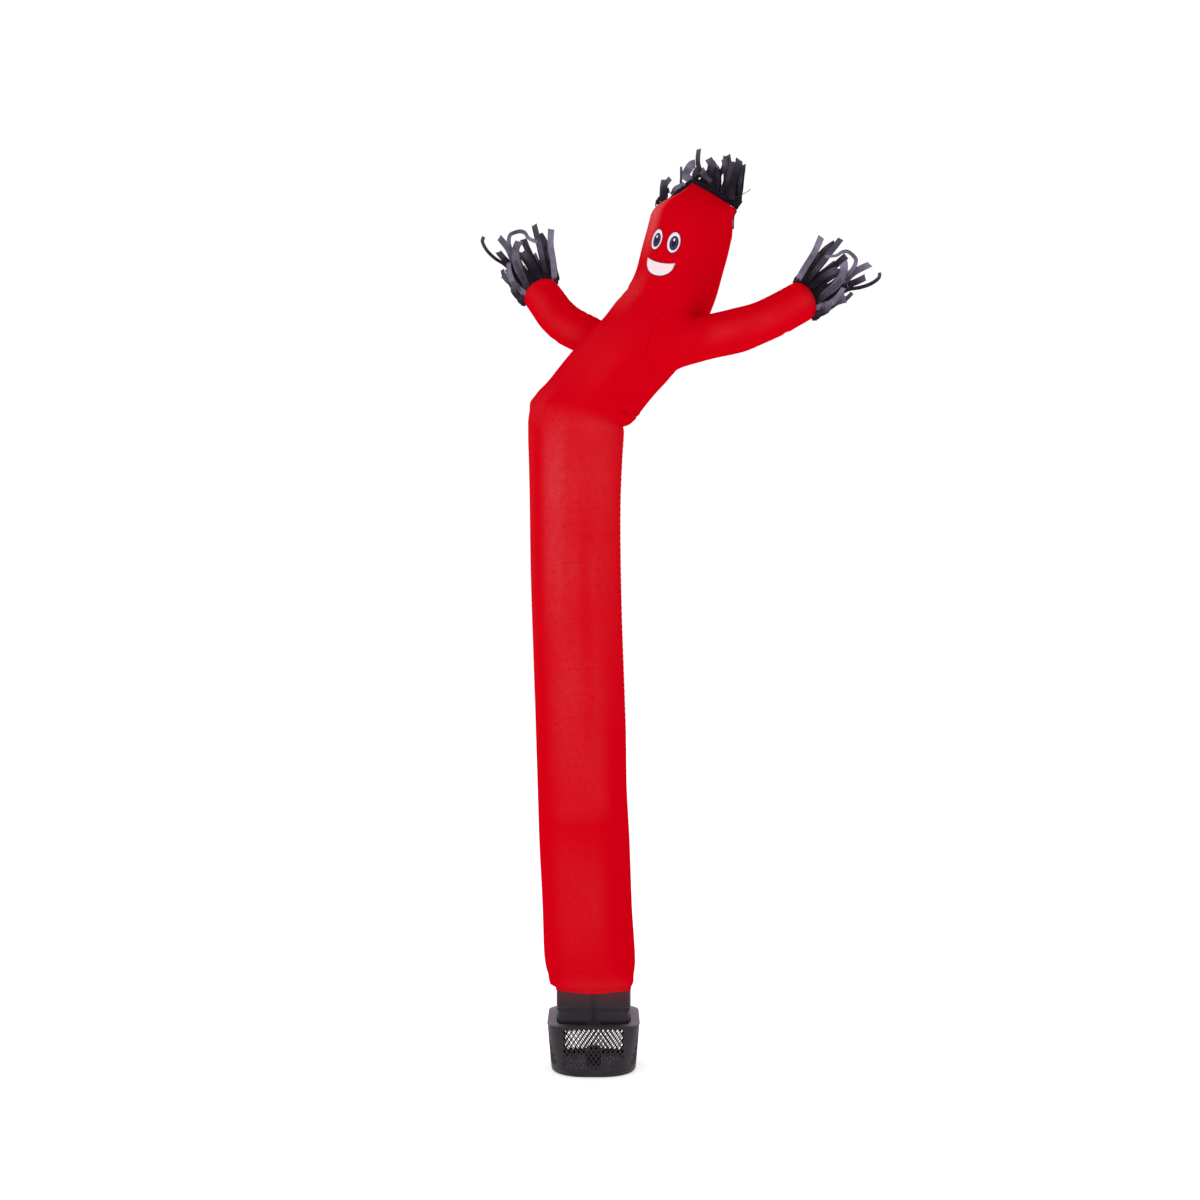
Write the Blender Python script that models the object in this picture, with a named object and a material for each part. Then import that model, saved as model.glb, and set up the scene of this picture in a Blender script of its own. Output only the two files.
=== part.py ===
"""Inflatable air dancer: a bent cloth tube with two sleeves and three ribbon fringes, on its floor blower.

Metres, +Z up. The origin is the middle of the blower's underside, on the floor. The face looks along -Y.
"""

from math import cos, pi, radians, sin

import bmesh
import bpy
from mathutils import Matrix, Vector

# ---------------------------------------------------------------- driving dimensions

CLOTH = 0.002  # cloth thickness
GAP = 0.0003  # clearance between pieces that touch
STEP = 0.001  # height of a small ledge or bevel
SIDES = 32  # points round the body tube, its hem and the collar inside it
SLEEVE_SIDES = 20  # points round a sleeve
LATERAL_TURN = 28.0  # degrees that the side seams turn forward, at the head

# Blower
PAN_HALF = 0.1425
PAN_HEIGHT = 0.0115
PAN_CORNER = 0.115
PAN_EDGE = 0.010  # rounding under the pan's rim
PAN_EDGE_SHARE = 0.3  # where the rounding's middle ring lies, as a share of it
GUARD_RIM_HALF = 0.1530
GUARD_TOP = 0.171
GUARD_WALL = 0.003
GUARD_RIM_CORNER = 0.060
LIP_HEIGHT = 0.007
LIP_OUT = 0.0015
DECK_HALF = 0.1285  # the round-cornered opening in the guard's top, which the collar stands in
DECK_CORNER = 0.055
MESH_PITCH = (0.032, 0.044)  # across and up, from diamond to diamond
MESH_STRAND = 0.006
MESH_COLUMNS = 6
MESH_ROWS = 6  # rows half a pitch apart, every other one shifted and one diamond shorter
MESH_BOTTOM = 0.0145
COLLAR_HALF = 0.1225
COLLAR_FOOT_HALF = 0.1190
COLLAR_FLARE = 0.001  # how much wider the lower part is at its top
COLLAR_CORNER = 0.015
COLLAR_WALL = 0.003
COLLAR_BOTTOM = 0.1730  # the ledge that rests on the brackets
SPIGOT_HALF = 0.110  # the collar's end below that ledge
SPIGOT_BOTTOM = 0.156
COLLAR_STEP = 0.217  # the ledge where the collar's lower part is narrower
COLLAR_TOP = 0.312
RIB = (0.004, 0.002)  # width and height of a rib on the collar's faces
RIB_SPACING = 0.008  # between the middles of a face's two ribs
RIB_TOP = 0.266
RIB_FOOT_GAP = 0.003  # from a bracket's plate up to the ribs over it
RIB_SINK = 0.001  # how deep a rib is set into the wall
BRACKET_WIDTH = 0.045
BRACKET_DEPTH = 0.008
BRACKET_PLATE = 0.0025
POD_RADIUS = 0.026
POD_HEIGHT = 0.060
POD_CROWN = 0.0156  # height of the pod's rounded top
POD_SIDES = 24
GLAND_RADIUS = 0.008
GLAND_FLANGE = (0.012, 0.003)  # radius and thickness
GLAND_INSIDE = 0.006  # how far the barrel shows inside the guard's wall
GLAND_LENGTH = 0.026
GLAND_TIP = 0.6  # its outer end's radius, as a share of the barrel's
GLAND_EDGE = 0.0005
GLAND_HEIGHT = 0.060
GLAND_SIDES = 12

# Body tube, from the hem up: middle, slope of the section in degrees, half width, half depth, how square the
# section is, and how deep its gathers are.
HEM_HEIGHT = 0.285
HEM_DROP = 0.012  # how far the hem hangs lower at the middle of each side
HEM_DROP_FADE = 0.6  # how square a section is where that drop ends
HEM_HALF = COLLAR_HALF + GAP + CLOTH
HEM_CORNER = COLLAR_CORNER + GAP + CLOTH
GATHERS = 8
BODY = (
    # x, z, slope, half_width, half_depth, square, gather
    (0.000, HEM_HEIGHT, 0.0, HEM_HALF, HEM_HALF, 1.00, 0.0),
    (0.000, HEM_HEIGHT + 0.007, 0.0, HEM_HALF, HEM_HALF, 1.00, 0.0),
    (-0.008, 0.306, 0.0, 0.1373, 0.1360, 0.88, 0.0020),
    (-0.010, 0.324, 0.0, 0.1450, 0.1430, 0.60, 0.0030),
    (-0.0115, 0.352, 0.0, 0.1515, 0.1495, 0.25, 0.0018),
    (-0.0140, 0.394, 0.0, 0.1540, 0.1525, 0.06, 0.0008),
    (-0.0217, 0.546, -0.5, 0.1516, 0.1540, 0.0, 0.0),
    (-0.0305, 0.750, -2.0, 0.1525, 0.1525, 0.0, 0.0),
    (-0.039, 0.953, -2.0, 0.1512, 0.1540, 0.0, 0.0),
    (-0.044, 1.156, -2.0, 0.1525, 0.1525, 0.0, 0.0),
    (-0.0508, 1.360, -1.8, 0.1525, 0.1525, 0.0, 0.0),
    (-0.0576, 1.563, -1.5, 0.1528, 0.1525, 0.0, 0.0),
    (-0.0610, 1.716, -0.8, 0.1530, 0.1525, 0.0, 0.0),
    (-0.0627, 1.919, 0.0, 0.1550, 0.1510, 0.0, 0.0),
    (-0.0620, 2.060, 0.5, 0.1600, 0.1490, 0.0, 0.0),
    (-0.0605, 2.145, 2.5, 0.1635, 0.1475, 0.0, 0.0),
    (-0.0583, 2.207, 15.0, 0.1725, 0.1440, 0.0, 0.0),
    (-0.0410, 2.223, 18.2, 0.1690, 0.1450, 0.0, 0.0),
    (-0.0082, 2.256, 25.5, 0.1620, 0.1500, 0.0, 0.0),
    (0.0395, 2.316, 34.5, 0.1550, 0.1550, 0.0, 0.0),
    (0.0935, 2.379, 41.5, 0.1505, 0.1580, 0.0, 0.0),
    (0.1440, 2.432, 41.5, 0.1485, 0.1590, 0.0, 0.0),
    (0.1915, 2.495, 36.0, 0.1465, 0.1580, 0.0, 0.0),
    (0.2370, 2.558, 27.0, 0.1415, 0.1580, 0.0, 0.0),
    (0.2775, 2.644, 20.0, 0.1390, 0.1590, 0.0, 0.0),
    (0.3000, 2.725, 17.5, 0.1400, 0.1580, 0.0, 0.0),
    (0.3196, 2.797, 17.0, 0.1400, 0.1560, 0.0, 0.0),
    (0.3292, 2.837, 17.0, 0.1400, 0.1530, 0.0, 0.0),
)
HEAD_SEAM = (
    # across, rise above the last section, from the near shoulder over the crown to the far shoulder
    (0.1470, 0.0920),
    (0.0980, 0.1100),
    (0.0400, 0.1295),
    (-0.0180, 0.1470),
    (-0.0459, 0.1545),
    (-0.0600, 0.1400),
    (-0.0870, 0.1095),
    (-0.1150, 0.0780),
    (-0.1430, 0.0440),
)

# Sleeves, from the armhole to the hand
SLEEVE_LEFT = (
    # x, y, z, half_width
    (0.131, 0.030, 2.425, 0.070),
    (0.050, 0.090, 2.458, 0.069),
    (-0.025, 0.140, 2.500, 0.068),
    (-0.092, 0.185, 2.542, 0.069),
    (-0.133, 0.220, 2.584, 0.069),
    (-0.162, 0.245, 2.627, 0.068),
    (-0.183, 0.260, 2.658, 0.067),
)
SLEEVE_RIGHT = (
    # x, y, z, half_width
    (0.208, -0.020, 2.418, 0.078),
    (0.290, -0.060, 2.432, 0.077),
    (0.378, -0.110, 2.451, 0.0755),
    (0.467, -0.155, 2.467, 0.0735),
    (0.546, -0.195, 2.489, 0.0675),
    (0.618, -0.230, 2.519, 0.0660),
    (0.674, -0.250, 2.548, 0.0650),
)
HAND_RISE = 0.68  # height of a sleeve's closed end, as a share of its half width
BORE_SECTIONS = 4  # sections of a sleeve that its armhole is cut with
FIT_SECTION = 10  # the body's section from which up the sleeves are fitted to it

# A closed end narrows from its last section to its seam in these steps of a quarter turn
END_STEPS = (0.25, 0.5, 0.75, 1.0)
# How nearly front and back meet at the seam, and how much sharper than round their wedge is there
HEAD_CLOSING = (0.86, 4.0)
HAND_CLOSING = (0.94, 1.0)
SEAM_ALLOWANCE = 0.003  # extra cloth thickness under a seam

# Ribbons
RIBBON = 0.002  # ribbon thickness
STRIP = 0.006  # thickness of the strip that the ribbons are fused to
ROOT_SHARE = 0.72  # a ribbon's width, as a share of its pitch on the strip
STRIP_SEAT = 0.0006  # strip to seam at least
RIBBON_STEPS = 5
SEAM_POINTS = 17  # points of the seam that a fringe is set on
TURN_AT_ROOT = 0.2  # how far a ribbon has turned to its own direction at its root, and how fast it goes on
TURN_RATE = 1.5
HAIR = (
    # fan, length, lift, curl: degrees from the fringe's middle, metres, degrees to the front, and more of
    # them at the tip
    (5.0, 0.134, 8.0, -10.0),
    (-1.0, 0.118, 14.0, -2.0),
    (0.0, 0.100, 8.0, 16.0),
    (-1.0, 0.120, 12.0, -8.0),
    (-1.0, 0.104, 16.0, 14.0),
    (0.0, 0.092, 12.0, -12.0),
    (0.0, 0.122, 8.0, 6.0),
    (3.0, 0.080, 14.0, 14.0),
    (1.0, 0.058, 10.0, -10.0),
    (-6.0, 0.036, 13.0, 12.0),
    (4.0, 0.080, 8.0, 16.0),
)
HAND = (
    # fan, length, lift, curl
    (7.0, 0.180, 12.0, 12.0),
    (8.0, 0.257, 9.0, 8.0),
    (6.0, 0.225, 14.0, -10.0),
    (4.0, 0.196, 10.0, 16.0),
    (1.0, 0.210, 14.0, 8.0),
    (-3.0, 0.180, 9.0, -12.0),
    (-7.0, 0.195, 13.0, 12.0),
    (-10.0, 0.185, 10.0, -10.0),
    (-12.0, 0.172, 12.0, 10.0),
)
BACK_ROW = 0.85  # length of a back ribbon, as a share of the front one's
FRINGES = (
    # name, rows of ribbons, the strip's start and end along the seam, its height there, sweep of the fan in
    # degrees, stretch of the lengths, table order
    ("hair_fringe", HAIR, (0.02, 0.84), (0.026, 0.006), -16.0, 1.0, 1),
    ("hand_fringe_left", HAND, (0.05, 0.91), (0.008, 0.008), 6.0, 1.04, -1),
    ("hand_fringe_right", HAND, (0.09, 0.94), (0.008, 0.008), -22.0, 0.93, 1),
)


# ---------------------------------------------------------------- scene, materials and plain meshes


def clear_scene():
    for item in list(bpy.context.scene.objects):
        bpy.data.objects.remove(item, do_unlink=True)


def finish(name, colour, roughness, metallic=0.0):
    material = bpy.data.materials.new(name)
    material.use_nodes = True
    shader = material.node_tree.nodes["Principled BSDF"]
    shader.inputs["Base Color"].default_value = (*colour, 1.0)
    shader.inputs["Roughness"].default_value = roughness
    shader.inputs["Metallic"].default_value = metallic
    return material


def make_object(name, build, material=None):
    """An object from a bmesh, its faces turned outward and shaded smooth but for its sharp edges."""
    bmesh.ops.recalc_face_normals(build, faces=build.faces)
    mesh = bpy.data.meshes.new(name)
    build.to_mesh(mesh)
    build.free()
    mesh.shade_smooth()
    mesh.set_sharp_from_angle(angle=radians(35))
    item = bpy.data.objects.new(name, mesh)
    if material:
        mesh.materials.append(material)
    bpy.context.scene.collection.objects.link(item)
    return item


def join_rings(build, lower, upper):
    count = len(lower)
    for i in range(count):
        j = (i + 1) % count
        build.faces.new((lower[i], lower[j], upper[j], upper[i]))


def loft(name, rings, material=None, closed=False):
    """Rings of points joined in order: capped at both ends, or closed back onto the first ring."""
    build = bmesh.new()
    rows = [[build.verts.new(point) for point in ring] for ring in rings]
    for lower, upper in zip(rows, rows[1:]):
        join_rings(build, lower, upper)
    if closed:
        join_rings(build, rows[-1], rows[0])
    else:
        build.faces.new(rows[0])
        build.faces.new(rows[-1])
    return make_object(name, build, material)


def cut(item, tool, operation="DIFFERENCE"):
    """Cut, or join, a piece with a hidden tool."""
    tool.hide_render = True
    tool.display_type = "WIRE"
    step = item.modifiers.new(tool.name, "BOOLEAN")
    step.object = tool
    step.operation = operation
    step.solver = "EXACT"


# ---------------------------------------------------------------- outlines


def circle(radius, sides):
    """A ring of points, a half step round from the X axis so that none lies on another piece's edge."""
    turns = [2 * pi * (i + 0.5) / sides for i in range(sides)]
    return [Vector((radius * cos(a), radius * sin(a))) for a in turns]


def rounded_square(half, corner, flat_steps, arc_steps):
    """A square with round corners: 4 * (flat_steps + arc_steps) points, from the middle of its +X side if one
    of them is there."""
    flat = half - corner
    turns = [pi / 2 * i / arc_steps for i in range(arc_steps + 1)]
    quarter = [Vector((half, flat * (2 * i / flat_steps - 1))) for i in range(1, flat_steps)]
    quarter += [Vector((flat + corner * cos(a), flat + corner * sin(a))) for a in turns]
    ring = [Matrix.Rotation(pi / 2 * q, 2) @ point for q in range(4) for point in quarter]
    first = max(flat_steps // 2 - 1, 0)
    return ring[first:] + ring[:first]


def collar_outline(half, corner):
    return rounded_square(half, corner, 6, 2)


def guard_outline(height, grow=0.0):
    """The guard's outside at a height, or pushed out from there."""
    share = (height - PAN_HEIGHT) / (GUARD_TOP - PAN_HEIGHT)
    corner = PAN_CORNER + (GUARD_RIM_CORNER - PAN_CORNER) * share
    return rounded_square(guard_half(height) + grow, corner + grow, 1, 8)


def level(outline, height):
    return [Vector((point.x, point.y, height)) for point in outline]


# ---------------------------------------------------------------- cloth sections


class Section:
    """A place on a tube: its middle, the way the tube runs there, and the half sizes across and in depth."""

    def __init__(self, middle, along, half_width, half_depth, turn=0.0):
        self.middle, self.along = middle, along.normalized()
        self.half_width, self.half_depth = half_width, half_depth
        across = Vector((0, 1, 0)).cross(self.along).normalized()
        depth = self.along.cross(across)
        self.across = across * cos(turn) - depth * sin(turn)
        self.depth = self.along.cross(self.across)

    def place(self, across, depth, rise=0.0):
        return self.middle + self.across * across + self.depth * depth + self.along * rise

    def ring(self, sides, grow=0.0):
        """The section's ellipse, from its +across end, grown outward."""
        half_width, half_depth = self.half_width + grow, self.half_depth + grow
        return [
            self.place(half_width * cos(2 * pi * i / sides), half_depth * sin(2 * pi * i / sides))
            for i in range(sides)
        ]


def body_sections():
    top = BODY[-1][1]
    sections = []
    for x, z, slope, half_width, half_depth, _, _ in BODY:
        along = Vector((sin(radians(slope)), 0, cos(radians(slope))))
        turn = radians(LATERAL_TURN) * z / top
        sections.append(Section(Vector((x, 0, z)), along, half_width, half_depth, turn))
    return sections


def sleeve_sections(table):
    middles = [Vector(row[:3]) for row in table]
    sections = []
    for i, row in enumerate(table):
        before, after = middles[max(i - 1, 0)], middles[min(i + 1, len(table) - 1)]
        sections.append(Section(middles[i], after - before, row[3], row[3]))
    return sections


def body_rings(sections, grow):
    """Rings of the body tube, which turn square and gather towards the hem."""
    rings = []
    for section, (x, z, _, half_width, half_depth, square, gather) in zip(sections, BODY):
        ring = section.ring(SIDES, grow)
        if square:
            # a squared section keeps to the collar's own directions
            outline = collar_outline(half_width + grow, HEM_CORNER + grow)
            drop = HEM_DROP * max(0.0, (square - HEM_DROP_FADE) / (1 - HEM_DROP_FADE))
            for i in range(SIDES):
                angle = 2 * pi * i / SIDES
                wave = 1 + (grow + gather * cos(GATHERS * angle)) / half_width
                round_point = Vector((half_width * cos(angle), half_depth * sin(angle))) * wave
                point = round_point.lerp(outline[i], square)
                ring[i] = Vector((x + point.x, point.y, z - drop * cos(2 * angle) ** 2))
        rings.append(ring)
    return rings


def smooth_curve(points, count):
    """Evenly numbered points on a smooth curve through the given ones."""
    curve = []
    for k in range(count):
        place = k * (len(points) - 1) / (count - 1)
        i = min(int(place), len(points) - 2)
        t = place - i
        start, end = points[i], points[i + 1]
        lead = (end - points[max(i - 1, 0)]) / 2
        tail = (points[min(i + 2, len(points) - 1)] - start) / 2
        curve.append(
            start * (2 * t**3 - 3 * t**2 + 1)
            + lead * (t**3 - 2 * t**2 + t)
            + end * (3 * t**2 - 2 * t**3)
            + tail * (t**3 - t**2)
        )
    return curve


def head_seam(count):
    return smooth_curve([Vector(row) for row in HEAD_SEAM], count)


def hand_seam(section, count):
    half = section.half_width
    turns = [pi * i / (count - 1) for i in range(count)]
    return [Vector((half * cos(a), half * HAND_RISE * sin(a))) for a in turns]


def end_rings(section, seam, sides, closing, grow=0.0):
    """Rings that close a tube from its last section to its seam, which front and back share."""
    rings = []
    half_width, half_depth = section.half_width + grow, section.half_depth + grow
    sink = SEAM_ALLOWANCE if grow < 0 else 0.0
    meeting, sharpness = closing
    for step in END_STEPS:
        quarter = pi / 2 * step
        ring = []
        for i in range(sides):
            angle = 2 * pi * i / sides
            target = seam[min(i, sides - i)]
            across = half_width * cos(angle)
            across += (target.x * half_width / section.half_width - across) * (1 - cos(quarter))
            depth = half_depth * sin(angle) * cos(quarter * meeting) ** sharpness
            ring.append(section.place(across, depth, (target.y - sink) * sin(quarter)))
        rings.append(ring)
    return rings


def shell(name, outer, inner, material):
    """A cloth tube with one open mouth: outer and inner rings from the mouth to the closed end."""
    build = bmesh.new()
    walls = [[[build.verts.new(point) for point in ring] for ring in rings] for rings in (outer, inner)]
    for rows in walls:
        for lower, upper in zip(rows, rows[1:]):
            join_rings(build, lower, upper)
        close_seam(build, rows[-1])
    join_rings(build, walls[0][0], walls[1][0])
    return make_object(name, build, material)


def close_seam(build, ring):
    """Close the narrow last ring across its seam, front to back."""
    half = len(ring) // 2
    for i in range(half):
        front, front_next = ring[-i % len(ring)], ring[-(i + 1)]
        corners = [ring[i], ring[i + 1], front_next, front]
        build.faces.new([corner for k, corner in enumerate(corners) if corner not in corners[:k]])


def make_body(cloth):
    sections = body_sections()
    last = sections[-1]
    seam = head_seam(SIDES // 2 + 1)
    outer = body_rings(sections, 0.0) + end_rings(last, seam, SIDES, HEAD_CLOSING)
    inner = body_rings(sections, -CLOTH) + end_rings(last, seam, SIDES, HEAD_CLOSING, -CLOTH)
    return shell("body_tube", outer, inner, cloth)


def make_sleeve(name, table, body, cloth):
    """A sleeve cut to the body tube's outside, and the armhole that it is sewn over."""
    sections = sleeve_sections(table)
    last = sections[-1]
    seam = hand_seam(last, SLEEVE_SIDES // 2 + 1)
    outer = [section.ring(SLEEVE_SIDES) for section in sections] + end_rings(last, seam, SLEEVE_SIDES, HAND_CLOSING)
    inner = [section.ring(SLEEVE_SIDES, -CLOTH) for section in sections]
    inner += end_rings(last, seam, SLEEVE_SIDES, HAND_CLOSING, -CLOTH)
    sleeve = shell(name, outer, inner, cloth)
    cut(sleeve, loft(name + "_fit", body_rings(body_sections(), GAP)[FIT_SECTION:]))
    cut(body, loft(name + "_bore", inner[:BORE_SECTIONS]))
    return sleeve


# ---------------------------------------------------------------- ribbons


def seam_frames(seam, stations):
    """Points at given shares of a seam's length, with its outward direction and how far a strip's foot moves
    out there so that its straight stretches clear the seam."""
    fine = smooth_curve(seam, 12 * len(seam))
    reach = [0.0]
    for a, b in zip(fine, fine[1:]):
        reach.append(reach[-1] + (b - a).length)
    places, points, outwards = [], [], []
    for share in stations:
        want = share * reach[-1]
        i = next(k for k in range(1, len(fine)) if reach[k] >= want - 1e-9)
        t = (want - reach[i - 1]) / (reach[i] - reach[i - 1])
        run = (fine[i] - fine[i - 1]).normalized()
        places.append(i)
        points.append(fine[i - 1].lerp(fine[i], t))
        outwards.append(Vector((run.y, -run.x)))
    seats = [STRIP_SEAT] * len(stations)
    for j in range(len(stations) - 1):
        chord = (points[j + 1] - points[j]).normalized()
        normal = Vector((chord.y, -chord.x))
        rise = max([0.0] + [(spot - points[j]).dot(normal) for spot in fine[places[j]:places[j + 1]]])
        for k in (j, j + 1):
            seats[k] = max(seats[k], STRIP_SEAT + rise / outwards[k].dot(normal))
    return list(zip(points, outwards, seats))


def strip_stations(columns, start, end):
    """Shares of the seam: the strip's ends, and each ribbon's two edges between them."""
    pitch = (end - start) / columns
    edge = pitch * (1 - ROOT_SHARE) / 2
    stations = [start]
    for column in range(columns):
        stations += [start + column * pitch + edge, start + (column + 1) * pitch - edge]
    return stations + [end]


def grow_ribbon(build, root, section, outward, shape, side):
    """Run a ribbon out of its root face, turning from the strip's direction to its own."""
    lean, length, lift, curl = shape
    lean = radians(lean)
    start = section.across * outward.x + section.along * outward.y
    middle = sum((vert.co for vert in root), Vector()) / 4
    width = (root[1].co - root[0].co) / 2
    half_width = width.length
    across = width.normalized()
    last = root
    for step in range(1, RIBBON_STEPS + 1):
        share = step / RIBBON_STEPS
        raised = radians(lift * share + curl * share**2)
        flat = section.along * cos(lean) + section.across * sin(lean)
        aim = flat * cos(raised) - section.depth * sin(raised) * side
        ease = min(1.0, TURN_AT_ROOT + TURN_RATE * share)
        run = start.lerp(aim, ease).normalized()
        middle = middle + run * (length / RIBBON_STEPS)
        across = (across - run * across.dot(run)).normalized()
        thick = run.cross(across) * (RIBBON / 2)
        wide = across * half_width
        corners = (middle - wide - thick, middle + wide - thick, middle + wide + thick, middle - wide + thick)
        if (root[3].co - root[0].co).dot(thick) < 0:
            corners = (corners[3], corners[2], corners[1], corners[0])
        ring = [build.verts.new(corner) for corner in corners]
        join_rings(build, last, ring)
        last = ring
    build.faces.new(last)


def make_fringe(name, section, seam, rows, reach, heights, sweep, stretch, order, material):
    """A narrow strip along a seam, with a front and a back row of ribbons fused to its top."""
    build = bmesh.new()
    depths = (-STRIP / 2, RIBBON - STRIP / 2, STRIP / 2 - RIBBON, STRIP / 2)
    start, end = reach
    stations = strip_stations(len(rows), start, end)
    frames = seam_frames(seam, stations)
    tops, feet = [], []
    for share, (point, outward, seat) in zip(stations, frames):
        along = (share - start) / (end - start)
        foot = point + outward * seat
        top = foot + outward * (heights[0] + (heights[1] - heights[0]) * along)
        feet.append([build.verts.new(section.place(foot.x, depth, foot.y)) for depth in depths[::3]])
        tops.append([build.verts.new(section.place(top.x, depth, top.y)) for depth in depths])
    for j in range(len(frames) - 1):
        top, top_next, foot, foot_next = tops[j], tops[j + 1], feet[j], feet[j + 1]
        build.faces.new((foot[0], foot_next[0], top_next[0], top[0]))
        build.faces.new((foot[1], foot_next[1], top_next[3], top[3]))
        build.faces.new((foot[0], foot_next[0], foot_next[1], foot[1]))
        build.faces.new((top[1], top_next[1], top_next[2], top[2]))
        column, is_gap = divmod(j - 1, 2)
        for low, side, shrink in ((0, 1, 1.0), (2, -1, BACK_ROW)):
            patch = [top[low], top_next[low], top_next[low + 1], top[low + 1]]
            if is_gap or j in (0, len(frames) - 2):
                build.faces.new(patch)
                continue
            fan, length, lift, curl = rows[column if order > 0 else -1 - column]
            outward = (frames[j][1] + frames[j + 1][1]).normalized()
            shape = (fan * order + sweep, length * shrink * stretch, lift, curl)
            grow_ribbon(build, patch, section, outward, shape, side)
    for j in (0, -1):
        build.faces.new((feet[j][0], feet[j][1], tops[j][3], tops[j][2], tops[j][1], tops[j][0]))
    return make_object(name, build, material)


# ---------------------------------------------------------------- blower


def guard_half(height):
    """Half width of the guard's outside at a height."""
    share = (height - PAN_HEIGHT) / (GUARD_TOP - PAN_HEIGHT)
    return PAN_HALF + (GUARD_RIM_HALF - PAN_HALF) * share


def collar_half(height):
    """Half width of the collar's outside under its step."""
    share = (height - COLLAR_BOTTOM) / (COLLAR_STEP - COLLAR_BOTTOM)
    return COLLAR_FOOT_HALF + COLLAR_FLARE * share


def make_pan(material):
    return loft(
        "base_pan",
        (
            level(guard_outline(PAN_HEIGHT, -PAN_EDGE), 0.0),
            level(guard_outline(PAN_HEIGHT, -PAN_EDGE * PAN_EDGE_SHARE), PAN_EDGE * PAN_EDGE_SHARE),
            level(guard_outline(PAN_HEIGHT), PAN_EDGE),
            level(guard_outline(PAN_HEIGHT), PAN_HEIGHT),
        ),
        material,
    )


def mesh_cutter(name, turn):
    """Diamond bars that run through two opposite walls of the guard."""
    half_wide, half_high = MESH_PITCH[0] / 2, MESH_PITCH[1] / 2
    slant = half_wide * half_high / (half_wide**2 + half_high**2) ** 0.5
    share = 1 - MESH_STRAND / 2 / slant
    wide, high = half_wide * share, half_high * share
    reach = 1.1 * GUARD_RIM_HALF
    build = bmesh.new()
    for row in range(MESH_ROWS):
        columns = MESH_COLUMNS - row % 2
        height = MESH_BOTTOM + high + row * half_high
        for column in range(columns):
            x = (column - (columns - 1) / 2) * MESH_PITCH[0]
            corners = ((x + wide, height), (x, height + high), (x - wide, height), (x, height - high))
            near, far = (
                [build.verts.new(Matrix.Rotation(turn, 3, "Z") @ Vector((a, y, b))) for a, b in corners]
                for y in (-reach, reach)
            )
            join_rings(build, near, far)
            build.faces.new(near)
            build.faces.new(far)
    return make_object(name, build)


def make_guard(material):
    foot, lip, under = PAN_HEIGHT + GAP, GUARD_TOP - LIP_HEIGHT, GUARD_TOP - GUARD_WALL
    opening = rounded_square(DECK_HALF, DECK_CORNER, 1, 8)
    guard = loft(
        "guard",
        (
            level(guard_outline(foot), foot),
            level(guard_outline(lip), lip),
            level(guard_outline(lip, LIP_OUT), lip + STEP),
            level(guard_outline(GUARD_TOP, LIP_OUT), GUARD_TOP),
            level(opening, GUARD_TOP),
            level(opening, under),
            level(guard_outline(under, -GUARD_WALL), under),
            level(guard_outline(foot, -GUARD_WALL), foot),
        ),
        material,
        closed=True,
    )
    cut(guard, mesh_cutter("mesh_cutter_front", 0.0))
    cut(guard, mesh_cutter("mesh_cutter_sides", pi / 2))
    return guard


def corner_face(height):
    """Distance from the axis to the guard's outside at its back right corner, along the diagonal."""
    return max(point.dot(Vector((1, 1)).normalized()) for point in guard_outline(height))


def diagonal(point):
    """A point measured along, across and up from the back right diagonal, in the part's frame."""
    return Matrix.Rotation(pi / 4, 3, "Z") @ point


def gland_ring(radius, distance):
    return [
        diagonal(Vector((distance, point.x, GLAND_HEIGHT + point.y))) for point in circle(radius, GLAND_SIDES)
    ]


def make_gland(guard, material):
    """The mains cord's inlet: a barrel through the guard's back right corner, flanged outside."""
    flange_radius, flange = GLAND_FLANGE
    seat = corner_face(GLAND_HEIGHT + flange_radius) + GAP
    start = seat - GUARD_WALL - GLAND_INSIDE
    hole = GLAND_RADIUS + GAP
    cut(guard, loft("gland_cutter", (gland_ring(hole, start - STEP), gland_ring(hole, seat + STEP))))
    return loft(
        "cable_gland",
        (
            gland_ring(GLAND_RADIUS, start),
            gland_ring(GLAND_RADIUS, seat),
            gland_ring(flange_radius, seat + GLAND_EDGE),
            gland_ring(flange_radius, seat + flange),
            gland_ring(GLAND_RADIUS, seat + flange + STEP),
            gland_ring(GLAND_RADIUS * GLAND_TIP, start + GLAND_LENGTH),
        ),
        material,
    )


def make_pod(material):
    foot = PAN_HEIGHT + GAP
    shoulder = foot + POD_HEIGHT - POD_CROWN
    profile = [(POD_RADIUS, foot), (POD_RADIUS, shoulder)]
    for i in range(1, 4):
        angle = pi / 2 * i / 4
        profile.append((POD_RADIUS * cos(angle), shoulder + POD_CROWN * sin(angle)))
    rings = [level(circle(radius, POD_SIDES), height) for radius, height in profile]
    return loft("motor_pod", rings, material)


def prism(name, profile, half_span, turn=0.0, material=None):
    """A profile of distance and height, run sideways and turned about the upright axis."""
    facing = Matrix.Rotation(turn, 3, "Z")
    ends = [[facing @ Vector((side, -out, up)) for out, up in profile] for side in (-half_span, half_span)]
    return loft(name, ends, material)


BRACKETS = (
    # name, quarter turns from the front, height of its upright plate
    ("bracket_front", 0, 0.181),
    ("bracket_right", 1, 0.202),
    ("bracket_back", 2, 0.181),
    ("bracket_left", 3, 0.202),
)


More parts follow.
